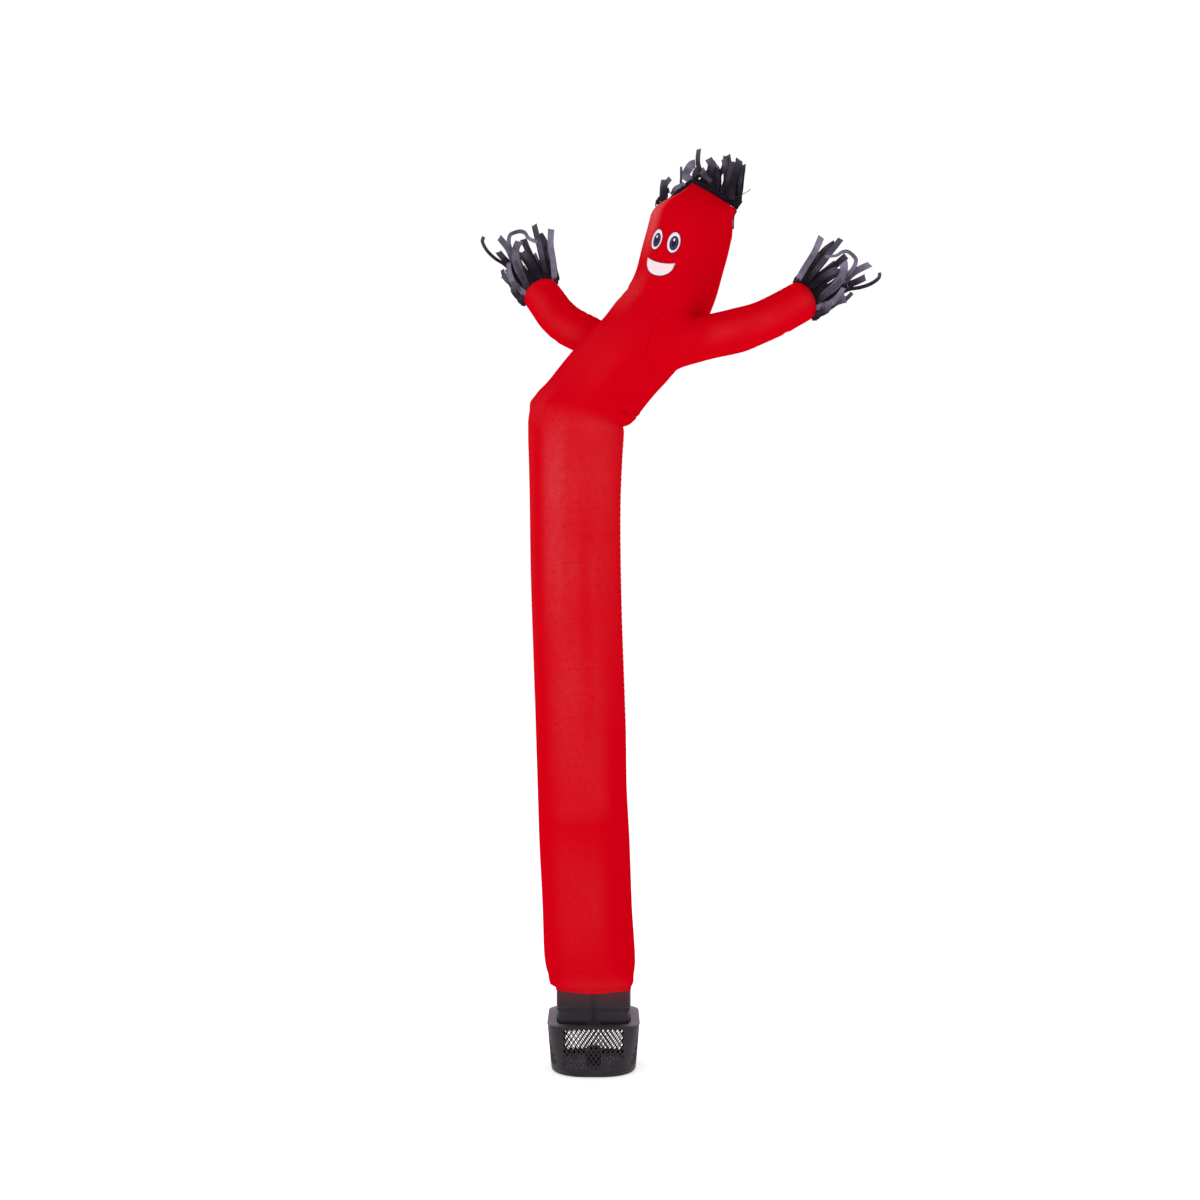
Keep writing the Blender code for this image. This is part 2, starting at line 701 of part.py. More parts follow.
def make_bracket(name, quarters, plate_top, material):
    """A lug from the guard's deck in under the collar's wall, with a plate up the collar's outside."""
    shelf = COLLAR_BOTTOM - GAP
    outer = DECK_HALF - GAP
    plate = collar_half(plate_top) + GAP
    inner = SPIGOT_HALF + GAP
    profile = (
        (inner, shelf - BRACKET_DEPTH),
        (outer, shelf - BRACKET_DEPTH),
        (outer, shelf),
        (plate + BRACKET_PLATE, shelf),
        (plate + BRACKET_PLATE, plate_top),
        (plate, plate_top),
        (plate, shelf),
        (inner, shelf),
    )
    return prism(name, profile, BRACKET_WIDTH / 2, pi / 2 * quarters, material)


def make_collar(material):
    inner_corner = COLLAR_CORNER - COLLAR_WALL
    collar = loft(
        "collar_duct",
        (
            level(collar_outline(SPIGOT_HALF, COLLAR_CORNER), SPIGOT_BOTTOM),
            level(collar_outline(SPIGOT_HALF, COLLAR_CORNER), COLLAR_BOTTOM),
            level(collar_outline(COLLAR_FOOT_HALF, COLLAR_CORNER), COLLAR_BOTTOM),
            level(collar_outline(collar_half(COLLAR_STEP), COLLAR_CORNER), COLLAR_STEP),
            level(collar_outline(COLLAR_HALF, COLLAR_CORNER), COLLAR_STEP + STEP),
            level(collar_outline(COLLAR_HALF, COLLAR_CORNER), COLLAR_TOP),
            level(collar_outline(COLLAR_HALF - COLLAR_WALL, inner_corner), COLLAR_TOP),
            level(collar_outline(COLLAR_FOOT_HALF - COLLAR_WALL, inner_corner), COLLAR_BOTTOM + COLLAR_WALL),
            level(collar_outline(SPIGOT_HALF - COLLAR_WALL, inner_corner), COLLAR_BOTTOM + COLLAR_WALL),
            level(collar_outline(SPIGOT_HALF - COLLAR_WALL, inner_corner), SPIGOT_BOTTOM),
        ),
        material,
        closed=True,
    )
    width, height = RIB
    for name, quarters, plate_top in BRACKETS:
        for side in (-1, 1):
            foot = plate_top + RIB_FOOT_GAP
            profile = (
                (COLLAR_FOOT_HALF - RIB_SINK, foot),
                (COLLAR_HALF + height, foot),
                (COLLAR_HALF + height, RIB_TOP),
                (COLLAR_FOOT_HALF - RIB_SINK, RIB_TOP),
            )
            tool = prism(f"{name}_rib_{'left' if side < 0 else 'right'}", profile, width / 2)
            facing = Matrix.Rotation(pi / 2 * quarters, 4, "Z")
            tool.data.transform(facing @ Matrix.Translation((side * RIB_SPACING / 2, 0, 0)))
            cut(collar, tool, "UNION")
    return collar


# ---------------------------------------------------------------- the whole part


def main():
    clear_scene()
    cloth = finish("red_cloth", (0.60, 0.004, 0.008), 0.55)
    ribbon = finish("black_ribbon", (0.02, 0.018, 0.022), 0.40)
    plastic = finish("black_plastic", (0.024, 0.022, 0.025), 0.45)
    motor = finish("motor_enamel", (0.03, 0.03, 0.032), 0.50, 0.6)

    make_pan(plastic)
    guard = make_guard(plastic)
    make_gland(guard, plastic)
    make_pod(motor)
    for name, quarters, plate_top in BRACKETS:
        make_bracket(name, quarters, plate_top, plastic)
    make_collar(plastic)

    body = make_body(cloth)
    make_sleeve("sleeve_left", SLEEVE_LEFT, body, cloth)
    make_sleeve("sleeve_right", SLEEVE_RIGHT, body, cloth)

    head, left, right = (sections[-1] for sections in (
        body_sections(),
        sleeve_sections(SLEEVE_LEFT),
        sleeve_sections(SLEEVE_RIGHT),
    ))
    seams = (head_seam(SEAM_POINTS), hand_seam(left, SEAM_POINTS), hand_seam(right, SEAM_POINTS))
    for section, seam, fringe in zip((head, left, right), seams, FRINGES):
        make_fringe(fringe[0], section, seam, *fringe[1:], ribbon)


main()
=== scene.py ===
"""Inflatable air dancer: a sewn tube figure with ribbon fringes, on its low floor blower.

Run as a script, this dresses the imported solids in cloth, ribbon and moulded plastic. Lengths are metres, and
the panel in the 3D view's sidebar lists the same steps.
"""

from math import asin, ceil, cos, exp, pi, radians, sin, sqrt, tau

import bmesh
import bpy
from mathutils import Matrix, Vector, noise
from mathutils.bvhtree import BVHTree


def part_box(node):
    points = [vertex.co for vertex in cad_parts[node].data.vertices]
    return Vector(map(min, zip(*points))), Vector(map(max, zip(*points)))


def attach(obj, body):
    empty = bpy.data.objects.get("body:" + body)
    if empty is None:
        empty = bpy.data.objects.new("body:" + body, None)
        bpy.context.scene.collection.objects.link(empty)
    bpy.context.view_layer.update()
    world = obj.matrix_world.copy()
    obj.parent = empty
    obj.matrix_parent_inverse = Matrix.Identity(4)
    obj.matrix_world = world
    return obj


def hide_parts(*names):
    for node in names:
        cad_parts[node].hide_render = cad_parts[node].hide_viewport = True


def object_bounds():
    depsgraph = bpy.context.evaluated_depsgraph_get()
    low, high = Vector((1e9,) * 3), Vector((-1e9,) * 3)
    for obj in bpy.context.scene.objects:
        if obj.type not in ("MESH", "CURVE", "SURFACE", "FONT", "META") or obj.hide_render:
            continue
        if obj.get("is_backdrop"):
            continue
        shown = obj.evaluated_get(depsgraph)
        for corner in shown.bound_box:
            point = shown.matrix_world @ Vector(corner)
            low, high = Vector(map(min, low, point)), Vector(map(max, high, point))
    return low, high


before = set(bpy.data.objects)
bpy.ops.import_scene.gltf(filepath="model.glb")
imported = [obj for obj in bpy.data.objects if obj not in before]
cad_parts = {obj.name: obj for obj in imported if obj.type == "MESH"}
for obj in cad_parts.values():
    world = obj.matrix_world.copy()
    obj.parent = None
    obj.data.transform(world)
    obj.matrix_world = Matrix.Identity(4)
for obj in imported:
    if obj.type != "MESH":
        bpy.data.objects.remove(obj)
CAD_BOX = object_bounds()

bl_info = {
    "name": "Inflatable air dancer",
    "version": (1, 0, 0),
    "blender": (4, 5, 0),
    "location": "3D View > Sidebar > Dancer",
    "description": "Dresses a tube figure and its floor blower in cloth, ribbon and moulded plastic",
    "category": "Object",
}

BODY = "root"  # the one body that every piece rides on
GAP = 0.0003  # clearance between pieces that touch

# ---------------------------------------------------------------- cloth sizes

CLOTH = 0.002
HALF_GIRTH = 0.48  # cloth from seam to seam round the tube, as its material counts it
LATERAL_TURN = 28.0  # degrees that the sections turn forward, at the head
SEAM_FORWARD = 26.0  # degrees that the side seam lies in front of the tube's side, at the floor
SEAM_MEETS = (0.50, 1.30)  # heights over which it goes out to the side
SEAM_LEAVES = (2.10, 2.70)  # and over which it comes back to the ends of the head's seam
HEM_CORNER = 0.0173
HEM_DROP = 0.012  # how far the hem hangs lower at the middle of each side
HEM_DROP_FADE = 0.6  # how square a section is where that drop ends
TUBE = (
    # x, z, slope in degrees, half width, half depth, how square
    (0.000, 0.285, 0.0, 0.1248, 0.1248, 1.00),
    (0.000, 0.292, 0.0, 0.1248, 0.1248, 1.00),
    (-0.008, 0.306, 0.0, 0.1373, 0.1360, 0.88),
    (-0.010, 0.324, 0.0, 0.1450, 0.1430, 0.60),
    (-0.0115, 0.352, 0.0, 0.1515, 0.1495, 0.25),
    (-0.0140, 0.394, 0.0, 0.1540, 0.1525, 0.06),
    (-0.0217, 0.546, -0.5, 0.1516, 0.1540, 0.0),
    (-0.0305, 0.750, -2.0, 0.1525, 0.1525, 0.0),
    (-0.039, 0.953, -2.0, 0.1512, 0.1540, 0.0),
    (-0.044, 1.156, -2.0, 0.1525, 0.1525, 0.0),
    (-0.0508, 1.360, -1.8, 0.1525, 0.1525, 0.0),
    (-0.0576, 1.563, -1.5, 0.1528, 0.1525, 0.0),
    (-0.0610, 1.716, -0.8, 0.1530, 0.1525, 0.0),
    (-0.0627, 1.919, 0.0, 0.1550, 0.1510, 0.0),
    (-0.0620, 2.060, 0.5, 0.1600, 0.1490, 0.0),
    (-0.0605, 2.145, 2.5, 0.1650, 0.1475, 0.0),
    (-0.0583, 2.207, 15.0, 0.1665, 0.1440, 0.0),
    (-0.0410, 2.223, 18.2, 0.1690, 0.1450, 0.0),
    (-0.0082, 2.256, 25.5, 0.1620, 0.1500, 0.0),
    (0.0395, 2.316, 34.5, 0.1550, 0.1550, 0.0),
    (0.0935, 2.379, 41.5, 0.1505, 0.1580, 0.0),
    (0.1440, 2.432, 41.5, 0.1485, 0.1590, 0.0),
    (0.1915, 2.495, 36.0, 0.1465, 0.1580, 0.0),
    (0.2370, 2.558, 27.0, 0.1415, 0.1580, 0.0),
    (0.2775, 2.644, 20.0, 0.1390, 0.1590, 0.0),
    (0.3000, 2.725, 17.5, 0.1400, 0.1580, 0.0),
    (0.3196, 2.797, 17.0, 0.1400, 0.1560, 0.0),
    (0.3292, 2.837, 17.0, 0.1400, 0.1530, 0.0),
)
HEAD_SEAM = (
    # across, rise above the tube's last section, from the near shoulder over the crown to the far one
    (0.1470, 0.0920),
    (0.0980, 0.1100),
    (0.0400, 0.1295),
    (-0.0180, 0.1470),
    (-0.0459, 0.1545),
    (-0.0600, 0.1400),
    (-0.0870, 0.1095),
    (-0.1150, 0.0780),
    (-0.1430, 0.0440),
)
SLEEVES = {
    # x, y, z, half width, from inside the armhole to the hand
    "left": (
        (0.131, 0.030, 2.425, 0.070),
        (0.050, 0.090, 2.458, 0.069),
        (-0.025, 0.140, 2.500, 0.068),
        (-0.092, 0.185, 2.542, 0.069),
        (-0.133, 0.220, 2.584, 0.069),
        (-0.162, 0.245, 2.627, 0.068),
        (-0.183, 0.260, 2.658, 0.067),
    ),
    "right": (
        (0.208, -0.020, 2.418, 0.078),
        (0.290, -0.060, 2.436, 0.0735),
        (0.378, -0.110, 2.4535, 0.0730),
        (0.467, -0.155, 2.467, 0.0735),
        (0.546, -0.195, 2.489, 0.0675),
        (0.618, -0.230, 2.519, 0.0660),
        (0.674, -0.250, 2.548, 0.0650),
    ),
}
HAND_RISE = 0.68  # height of a sleeve's closed end, as a share of its half width
# How nearly front and back meet at a closed end's seam, and how much sharper than round their wedge is there
HEAD_CLOSING = (0.86, 4.0)
HAND_CLOSING = (0.94, 1.0)
SEAM_SINK = 0.0026  # how far the hidden side lies under a closed end's seam, at its middle

CREASES = (
    # height, angle round the tube, half length, lean from the tube's length, half width, depth; a ridge is
    # negative; angles in degrees, and -90 is the front
    (2.213, 180.0, 0.045, 88.0, 0.006, 0.0090),
    (2.182, -165.0, 0.045, 70.0, 0.010, 0.0022),
    (2.238, 168.0, 0.060, 108.0, 0.010, 0.0024),
    (2.236, -168.0, 0.050, 100.0, 0.016, -0.0030),
    (2.262, -14.0, 0.055, 78.0, 0.008, 0.0060),
    (2.300, -24.0, 0.050, 62.0, 0.009, 0.0045),
    (2.222, -10.0, 0.045, 98.0, 0.008, 0.0040),
    (2.245, -20.0, 0.060, 86.0, 0.010, -0.0035),
    (2.282, 12.0, 0.060, 100.0, 0.009, 0.0050),
    (2.120, -60.0, 0.080, 52.0, 0.014, 0.0016),
    (2.050, -102.0, 0.080, 35.0, 0.014, 0.0016),
    (1.980, -85.0, 0.090, 30.0, 0.014, 0.0013),
    (1.900, -75.0, 0.080, 26.0, 0.016, 0.0012),
    (2.360, -70.0, 0.090, 44.0, 0.016, 0.0020),
    (2.400, -112.0, 0.080, 54.0, 0.014, 0.0020),
    (2.520, -52.0, 0.060, 66.0, 0.012, 0.0026),
    (2.560, -140.0, 0.070, 112.0, 0.013, 0.0024),
    (2.600, 160.0, 0.060, 98.0, 0.012, 0.0024),
    (2.470, 150.0, 0.060, 84.0, 0.011, 0.0030),
    (0.304, -14.0, 0.016, 0.0, 0.018, -0.0045),
    (0.318, -60.0, 0.035, 74.0, 0.006, 0.0034),
    (0.316, -120.0, 0.035, 106.0, 0.006, 0.0034),
    (0.332, -80.0, 0.040, 66.0, 0.007, 0.0026),
    (0.335, -108.0, 0.040, 112.0, 0.007, 0.0026),
    (0.400, -128.0, 0.050, -6.0, 0.009, 0.0020),
    (0.430, -95.0, 0.060, 4.0, 0.010, 0.0018),
    (0.420, -58.0, 0.055, 8.0, 0.009, 0.0020),
    (0.410, 40.0, 0.055, -5.0, 0.009, 0.0020),
    (0.430, 92.0, 0.060, 3.0, 0.010, 0.0018),
    (0.410, 140.0, 0.050, 7.0, 0.009, 0.0020),
    (0.780, 60.0, 0.110, 18.0, 0.016, 0.0012),
    (1.250, 110.0, 0.120, -20.0, 0.018, 0.0012),
    (1.700, 75.0, 0.110, 22.0, 0.016, 0.0014),
    (2.120, 100.0, 0.090, 62.0, 0.014, 0.0022),
    (2.260, 70.0, 0.090, 84.0, 0.012, 0.0030),
    (0.900, -120.0, 0.120, -14.0, 0.018, 0.0009),
    (1.450, -60.0, 0.120, 16.0, 0.018, 0.0009),
)
PLEATS = 26  # gathers round the hem
PLEAT_DEPTH = 0.0034
PLEAT_REACH = 0.045
PUCKER_PITCH = 0.020  # along the side seams
PUCKER_DEPTH = 0.0008
FAR_PUCKERS = 0.3  # how deep they are along the left seam, as a share of the right one's
SLEEVE_PUCKERS = 0.3
SEAM_GROOVE = 0.0010
HEM_SNUG = 0.012  # how far up the cloth lies close on the collar, and how fast it may sink inward above that
HEM_SLACK = 0.3
END_TUCK = 0.0008  # gathers along the seams of the closed ends
HEM_PRESS = 0.0009  # how much thinner the cloth is pressed over the collar
HEAD_REACH, HAND_REACH = 0.15, 0.05  # about how far the cloth runs on over a closed end, to its seam
HAND_SHEET = 0.04  # what a closed hand adds to the length of its sleeve's flat sheet
SEAM_WIDTH, PUCKER_WIDTH = 0.0035, 0.011
PUCKERS_FAINT, PUCKERS_MORE = 0.35, 0.65  # strength near the ends of a side seam, and what its middle adds
PUCKERS_START, PUCKERS_END = (0.6, 1.0), (1.75, 1.95)  # places over which the middle's come in and go out
FOOT_FADE = 0.012  # over which seams and pleats come in from the hem
THINNEST, THICKEST = 0.00103, 0.00297  # what the cloth's thickness may be anywhere
BILLOW = 0.0010


# ---------------------------------------------------------------- curves and sections


def smooth_row(rows, keys, place):
    """The row of a table at a place between its keys, on a curve through all rows that never overshoots."""
    i = min(max(sum(key <= place for key in keys) - 1, 0), len(keys) - 2)
    span = keys[i + 1] - keys[i]
    t = min(max((place - keys[i]) / span, 0.0), 1.0)
    start, start_lean = 2 * t**3 - 3 * t**2 + 1, t**3 - 2 * t**2 + t
    end, end_lean = 3 * t**2 - 2 * t**3, t**3 - t**2

    def lean(k, column):
        """How fast a column changes at row k: level where it turns back."""
        rates = [
            (rows[b][column] - rows[a][column]) / (keys[b] - keys[a])
            for a, b in ((k - 1, k), (k, k + 1))
            if a >= 0 and b < len(keys)
        ]
        if len(rates) == 2 and rates[0] * rates[1] <= 0:
            return 0.0
        return 2 / sum(1 / rate for rate in rates) if len(rates) == 2 else rates[0]

    return [
        start * rows[i][column]
        + start_lean * span * lean(i, column)
        + end * rows[i + 1][column]
        + end_lean * span * lean(i + 1, column)
        for column in range(len(rows[0]))
    ]


def path_keys(points):
    """Distances along a row of points."""
    keys = [0.0]
    for a, b in zip(points, points[1:]):
        keys.append(keys[-1] + (b - a).length)
    return keys


def path_point(points, share):
    """A point, at a share of the rows, on a smooth curve through them."""
    place = share * (len(points) - 1)
    i = min(int(place), len(points) - 2)
    t = place - i
    before, start, end, after = (points[min(max(k, 0), len(points) - 1)] for k in range(i - 1, i + 3))
    lead, tail = (end - before) / 2, (after - start) / 2
    return (
        start * (2 * t**3 - 3 * t**2 + 1)
        + lead * (t**3 - 2 * t**2 + t)
        + end * (3 * t**2 - 2 * t**3)
        + tail * (t**3 - t**2)
    )


def bell(distance, width):
    return exp(-((distance / width) ** 2))


def rise(value, low, high):
    """A smooth step from 0 at low to 1 at high."""
    t = min(max((value - low) / (high - low), 0.0), 1.0)
    return t * t * (3 - 2 * t)


def around(angle):
    """An angle brought between -pi and pi."""
    return (angle + pi) % tau - pi


def ripple(x, y, z):
    """Smooth noise between -1 and 1."""
    return noise.noise(Vector((x, y, z)))


def fall(off, low_reach, high_reach, core=0.0):
    """1 at no distance, or within the core's share of the reach, falling smoothly to 0 at the reach."""
    return 1 - rise(abs(off) / (low_reach if off < 0 else high_reach), core, 1.0)


class Section:
    """A place on a tube: its middle, the way the tube runs there, and the half sizes across and in depth."""

    def __init__(self, middle, along, half_width, half_depth, turn=0.0):
        self.middle, self.along = middle, along.normalized()
        self.half_width, self.half_depth = half_width, half_depth
        across = Vector((0, 1, 0)).cross(self.along).normalized()
        depth = self.along.cross(across)
        self.across = across * cos(turn) - depth * sin(turn)
        self.depth = self.along.cross(self.across)

    def place(self, across, depth, rise=0.0):
        return self.middle + self.across * across + self.depth * depth + self.along * rise

    def point(self, angle, out=0.0):
        return self.place(cos(angle) * (self.half_width + out), sin(angle) * (self.half_depth + out))

    def outward(self, angle):
        return (self.across * cos(angle) + self.depth * sin(angle)).normalized()


def square_point(half, corner, angle):
    """A point on a square with round corners, as far round as the angle is round a circle."""
    quarter, rest = divmod(angle / tau * 32 + 3, 8)
    flat = half - corner
    if rest < 6:
        point = Vector((half, flat * (rest / 3 - 1)))
    else:
        turn = (rest - 6) * pi / 4
        point = Vector((flat + corner * cos(turn), flat + corner * sin(turn)))
    return Matrix.Rotation(pi / 2 * quarter, 2) @ point


class BodyTube:
    """The figure's main tube, from the hem at place 0 up to the section under its closed head."""

    keys = path_keys([Vector((row[0], row[1])) for row in TUBE])
    length = keys[-1]

    def place_at(self, height):
        """How far up the tube a section of that middle height is."""
        for key, next_key, row, next_row in zip(self.keys, self.keys[1:], TUBE, TUBE[1:]):
            if height <= next_row[1]:
                return key + (next_key - key) * max(height - row[1], 0.0) / (next_row[1] - row[1])
        return self.length

    def section(self, place):
        x, z, slope, half_width, half_depth, _ = smooth_row(TUBE, self.keys, place)
        along = Vector((sin(radians(slope)), 0, cos(radians(slope))))
        return Section(Vector((x, 0, z)), along, half_width, half_depth, self.side_turn(z))

    def side_turn(self, height):
        """How far a section is turned from facing straight ahead."""
        return radians(LATERAL_TURN) * height / TUBE[-1][1]

    def seam_angle(self, place):
        height = smooth_row(TUBE, self.keys, place)[1]
        back = self.side_turn(height) * (1 - rise(height, *SEAM_LEAVES))
        return back - radians(SEAM_FORWARD) * (1 - rise(height, *SEAM_MEETS))

    def point(self, place, angle, out=0.0):
        """A point on the tube, which is square at its foot, or that far off it."""
        x, z, _, half_width, half_depth, square = smooth_row(TUBE, self.keys, place)
        point = self.section(place).point(angle, out)
        if square > 0:
            flat = square_point(half_width + out, HEM_CORNER + out, angle)
            level = Vector((cos(angle) * (half_width + out), sin(angle) * (half_depth + out)))
            mixed = level.lerp(flat, min(square, 1.0))
            drop = HEM_DROP * max(0.0, (square - HEM_DROP_FADE) / (1 - HEM_DROP_FADE))
            low = Vector((x + mixed.x, mixed.y, z - drop * cos(2 * angle) ** 2))
            point = point.lerp(low, min(1.0, square * 8))
        return point


class SleeveTube:
    """A sleeve, from inside the armhole at place 0 out to the section under its closed hand end."""

    def __init__(self, side):
        self.rows = SLEEVES[side]
        self.keys = path_keys([Vector(row[:3]) for row in self.rows])
        self.length = self.keys[-1]

    def section(self, place):
        step = 0.004
        x, y, z, half = smooth_row(self.rows, self.keys, place)
        ahead = Vector(smooth_row(self.rows, self.keys, min(place + step, self.length))[:3])
        behind = Vector(smooth_row(self.rows, self.keys, max(place - step, 0.0))[:3])
        return Section(Vector((x, y, z)), ahead - behind, half, half)

    def point(self, place, angle, out=0.0):
        return self.section(place).point(angle, out)


def head_seam(section, share):
    """The crown's seam, as across and rise, at a share of the way over it."""
    return path_point([Vector(row) for row in HEAD_SEAM], share)


def hand_seam(section, share):
    """The same of a hand's seam, half an oval."""
    half = section.half_width
    return Vector((half * cos(pi * share), half * HAND_RISE * sin(pi * share)))


def end_point(section, seam, closing, quarter, angle, out=0.0, hidden=False):
    """A point of a closed end: quarter turns from 0 at the last section to pi / 2 at the seam."""
    meeting, sharpness = closing
    half_width, half_depth = section.half_width + out, section.half_depth + out
    sink = SEAM_SINK * abs(sin(angle)) if hidden else 0.0
    target = seam(section, abs(around(angle)) / pi)
    across = half_width * cos(angle)
    across += (target.x * half_width / section.half_width - across) * (1 - cos(quarter))
    depth = half_depth * sin(angle) * cos(quarter * meeting) ** sharpness
    return section.place(across, depth, (target.y - sink) * sin(quarter))


# ---------------------------------------------------------------- the cloth's relief


def crease_rows(rows, place_at=float):
    """A table of creases with its angles in radians and its heights made places along the tube."""
    return [
        (place_at(at), radians(turn), half_length, radians(lean), half_width, depth)
        for at, turn, half_length, lean, half_width, depth in rows
    ]


def crease_relief(place, angle, creases, radius):
    """How far the creases sink the cloth at a place, an angle and the tube's radius."""
    sink = 0.0
    for middle, turn, half_length, lean, half_width, depth in creases:
        along = place - middle
        if abs(along) > half_length + 4 * half_width:
            continue
        sideways = around(angle - turn) * radius
        run = along * cos(lean) + sideways * sin(lean)
        off = sideways * cos(lean) - along * sin(lean)
        sink += depth * bell(off, half_width) * bell(run, half_length) ** 2
        sink -= depth / 2 * bell(abs(off) - 1.6 * half_width, half_width) * bell(run, half_length) ** 2
    return -sink


def seam_relief(place, off, hidden=False):
    """The groove of a sewn seam and, outside, the puckers that its thread draws beside it."""
    groove = -SEAM_GROOVE * bell(off, SEAM_WIDTH)
    if hidden:
        return groove
    wander = ripple(place * 9, 0, 3)
    wave = sin(tau * (place + wander * PUCKER_PITCH / 3) / PUCKER_PITCH)
    return groove + PUCKER_DEPTH * wave * bell(off, PUCKER_WIDTH)


def body_relief(tube, creases, place, angle, hidden=False):
    radius = HALF_GIRTH / pi
    seam = tube.seam_angle(place)
    near, far = (abs(around(angle - side)) * radius for side in (seam, seam + pi))
    relief = crease_relief(place, angle, creases, radius)
    foot = min(place / FOOT_FADE, 1.0)
    strength = PUCKERS_FAINT + PUCKERS_MORE * rise(place, *PUCKERS_START) * (1 - rise(place, *PUCKERS_END))
    far_relief = FAR_PUCKERS * seam_relief(place + 1, far, hidden)
    relief += (seam_relief(place, near, hidden) + far_relief) * foot * strength
    wander = ripple(cos(angle) * 3, sin(angle) * 3, place * 8)
    gather = ripple(cos(angle) * 2.2, sin(angle) * 2.2, 7)
    pleat = cos(PLEATS * angle + 9 * wander + 30 * gather * place) * bell(place - 0.016, PLEAT_REACH) * foot
    relief += PLEAT_DEPTH * pleat * (0.8 + wander + gather)
    billow = ripple(cos(angle) * 1.6, sin(angle) * 1.6, place * 5)
    relief += BILLOW * billow * min(place / 0.1, 1.0)
    floor = -HEM_SLACK * max(0.0, place - HEM_SNUG)
    return max(relief, floor) - CLOTH if hidden else max(relief, floor - HEM_PRESS)


# ---------------------------------------------------------------- the cloth's painted sheen

SHEENS = (
    # painted sheen: height, reach down and up, share of the tube's width from its left side, reach left and
    # right, how pale (a negative paleness is painted shade)
    (0.90, 0.08, 1.26, 0.50, 0.42, 0.36, 0.085),
    (2.16, 1.26, 0.07, 0.50, 0.46, 0.60, 0.120),
    (2.05, 0.70, 0.18, 0.26, 0.13, 0.15, 0.110),
    (2.10, 1.40, 0.12, 0.00, 0.05, 0.09, 0.050),
    (1.60, 0.80, 0.60, 0.60, 0.09, 0.09, -0.05),
    (0.62, 0.42, 0.30, 0.42, 0.34, 0.38, 0.055),
    (0.30, 0.03, 0.05, 0.50, 0.36, 0.40, 0.050),
    (2.20, 0.06, 0.08, 0.04, 0.10, 0.16, 0.07),
    (2.33, 0.14, 0.20, 0.22, 0.25, 0.40, 0.03),
    (2.54, 0.11, 0.14, 0.08, 0.10, 0.16, 0.15),
    (2.86, 0.22, 0.20, 0.02, 0.12, 0.14, 0.55),
)
# painted sheen: a pale band painted into each sleeve's colour along its front
SLEEVE_SHEEN = {"left": (0.05, -112.0, 42.0), "right": (0.06, -84.0, 42.0)}  # how pale, its angle and reach
SHEEN_START = 24  # rings from a sleeve's foot over which its sheen comes in
SHEEN_BLOTCH = 0.5  # how much the sheen varies from spot to spot
SHEEN_BEHIND = 0.4  # how much of it there is on the figure's back


def body_sheen(height, turn):
    """How much painted sheen lightens the cloth's colour at a height and a turn from its right side."""
    across = (1 + cos(turn)) / 2
    sheen = 0.0
    for middle, down, up, place, left, right, tone in SHEENS:
        sheen += tone * fall(height - middle, down, up) * fall(across - place, left, right, 0.4)
    blotch = ripple(cos(turn) * 1.2, sin(turn) * 1.2, height * 5)
    behind = 1 - (1 - SHEEN_BEHIND) * rise(sin(turn), 0.0, 0.5)
    return max(0.0, sheen * (1 + SHEEN_BLOTCH * blotch)) * behind


# How much painted sheen lightens a sleeve's colour at a place and an angle
def sleeve_sheen(side, place, angle):
    tone, middle, reach = SLEEVE_SHEEN[side]
    blotch = ripple(cos(angle), sin(angle), place * 7)
    return tone * fall(around(angle - radians(middle)), radians(reach), radians(reach)) * (1 + blotch)


# ---------------------------------------------------------------- meshes


def ring_faces(build, lower, upper):
    """Faces between two closed rings of as many vertices."""
    count = len(lower)
    for i in range(count):
        j = (i + 1) % count
        build.faces.new((lower[i], lower[j], upper[j], upper[i]))


def join_rings(build, rings, inward=False):
    """Faces between each ring and the next, facing out of the tube or into it."""
    for lower, upper in zip(rings, rings[1:]):
        ring_faces(build, *((upper, lower) if inward else (lower, upper)))


def add_rings(build, rings):
    return [[build.verts.new(point) for point in ring] for ring in rings]


def close_seam(build, ring):
    """Close a narrow last ring across its seam, front to back."""
    half = len(ring) // 2
    for i in range(half):
        corners = [ring[i], ring[i + 1], ring[-(i + 1)], ring[-i % len(ring)]]
        build.faces.new([corner for k, corner in enumerate(corners) if corner not in corners[:k]])


def make_piece(name, build, finish, replaces=(), sharp=None):
    """A shown piece from a bmesh: it turns its faces outward, rides on the body and takes its finish."""
    bmesh.ops.recalc_face_normals(build, faces=build.faces)
    mesh = bpy.data.meshes.new(name)
    build.to_mesh(mesh)
    build.free()
    mesh.shade_smooth()
    if sharp:
        mesh.set_sharp_from_angle(angle=radians(sharp))
    mesh.materials.append(finish)
    item = bpy.data.objects.new(name, mesh)
    bpy.context.scene.collection.objects.link(item)
    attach(item, BODY)
    if replaces:
        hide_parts(*replaces)
    return item


def solid_rings(build, rings, closed=False):
    """Rings joined in order: capped at both ends, or closed back onto the first one."""
    rows = add_rings(build, rings)
    join_rings(build, rows)
    if closed:
        ring_faces(build, rows[-1], rows[0])
    else:
        build.faces.new(rows[0])
        build.faces.new(rows[-1])
    return rows


def chamfer(item, width, segments=2):
    """Round a hard piece's edges for good."""
    step = item.modifiers.new("edges", "BEVEL")
    step.width = width
    step.segments = segments
    step.limit_method = "ANGLE"
    step.angle_limit = radians(30)
    step.harden_normals = True


def lay_out_cloth(build, rings, seam_turns, places, layer):
    """Write how far round from the seam, and how far up, each corner of a tube's rings is."""
    spots = {}
    for ring, turns, place in zip(rings, seam_turns, places):
        for vert, turn in zip(ring, turns):
            spots[vert] = (turn, place)
    for face in build.faces:
        if not all(loop.vert in spots for loop in face.loops):
            continue
        turns = [spots[loop.vert][0] for loop in face.loops]
        wraps = max(turns) - min(turns) > pi
        for loop in face.loops:
            turn, place = spots[loop.vert]
            turn += tau if wraps and turn < pi else 0.0
            loop[layer].uv = (turn / pi * HALF_GIRTH, place)


# ---------------------------------------------------------------- shader maths


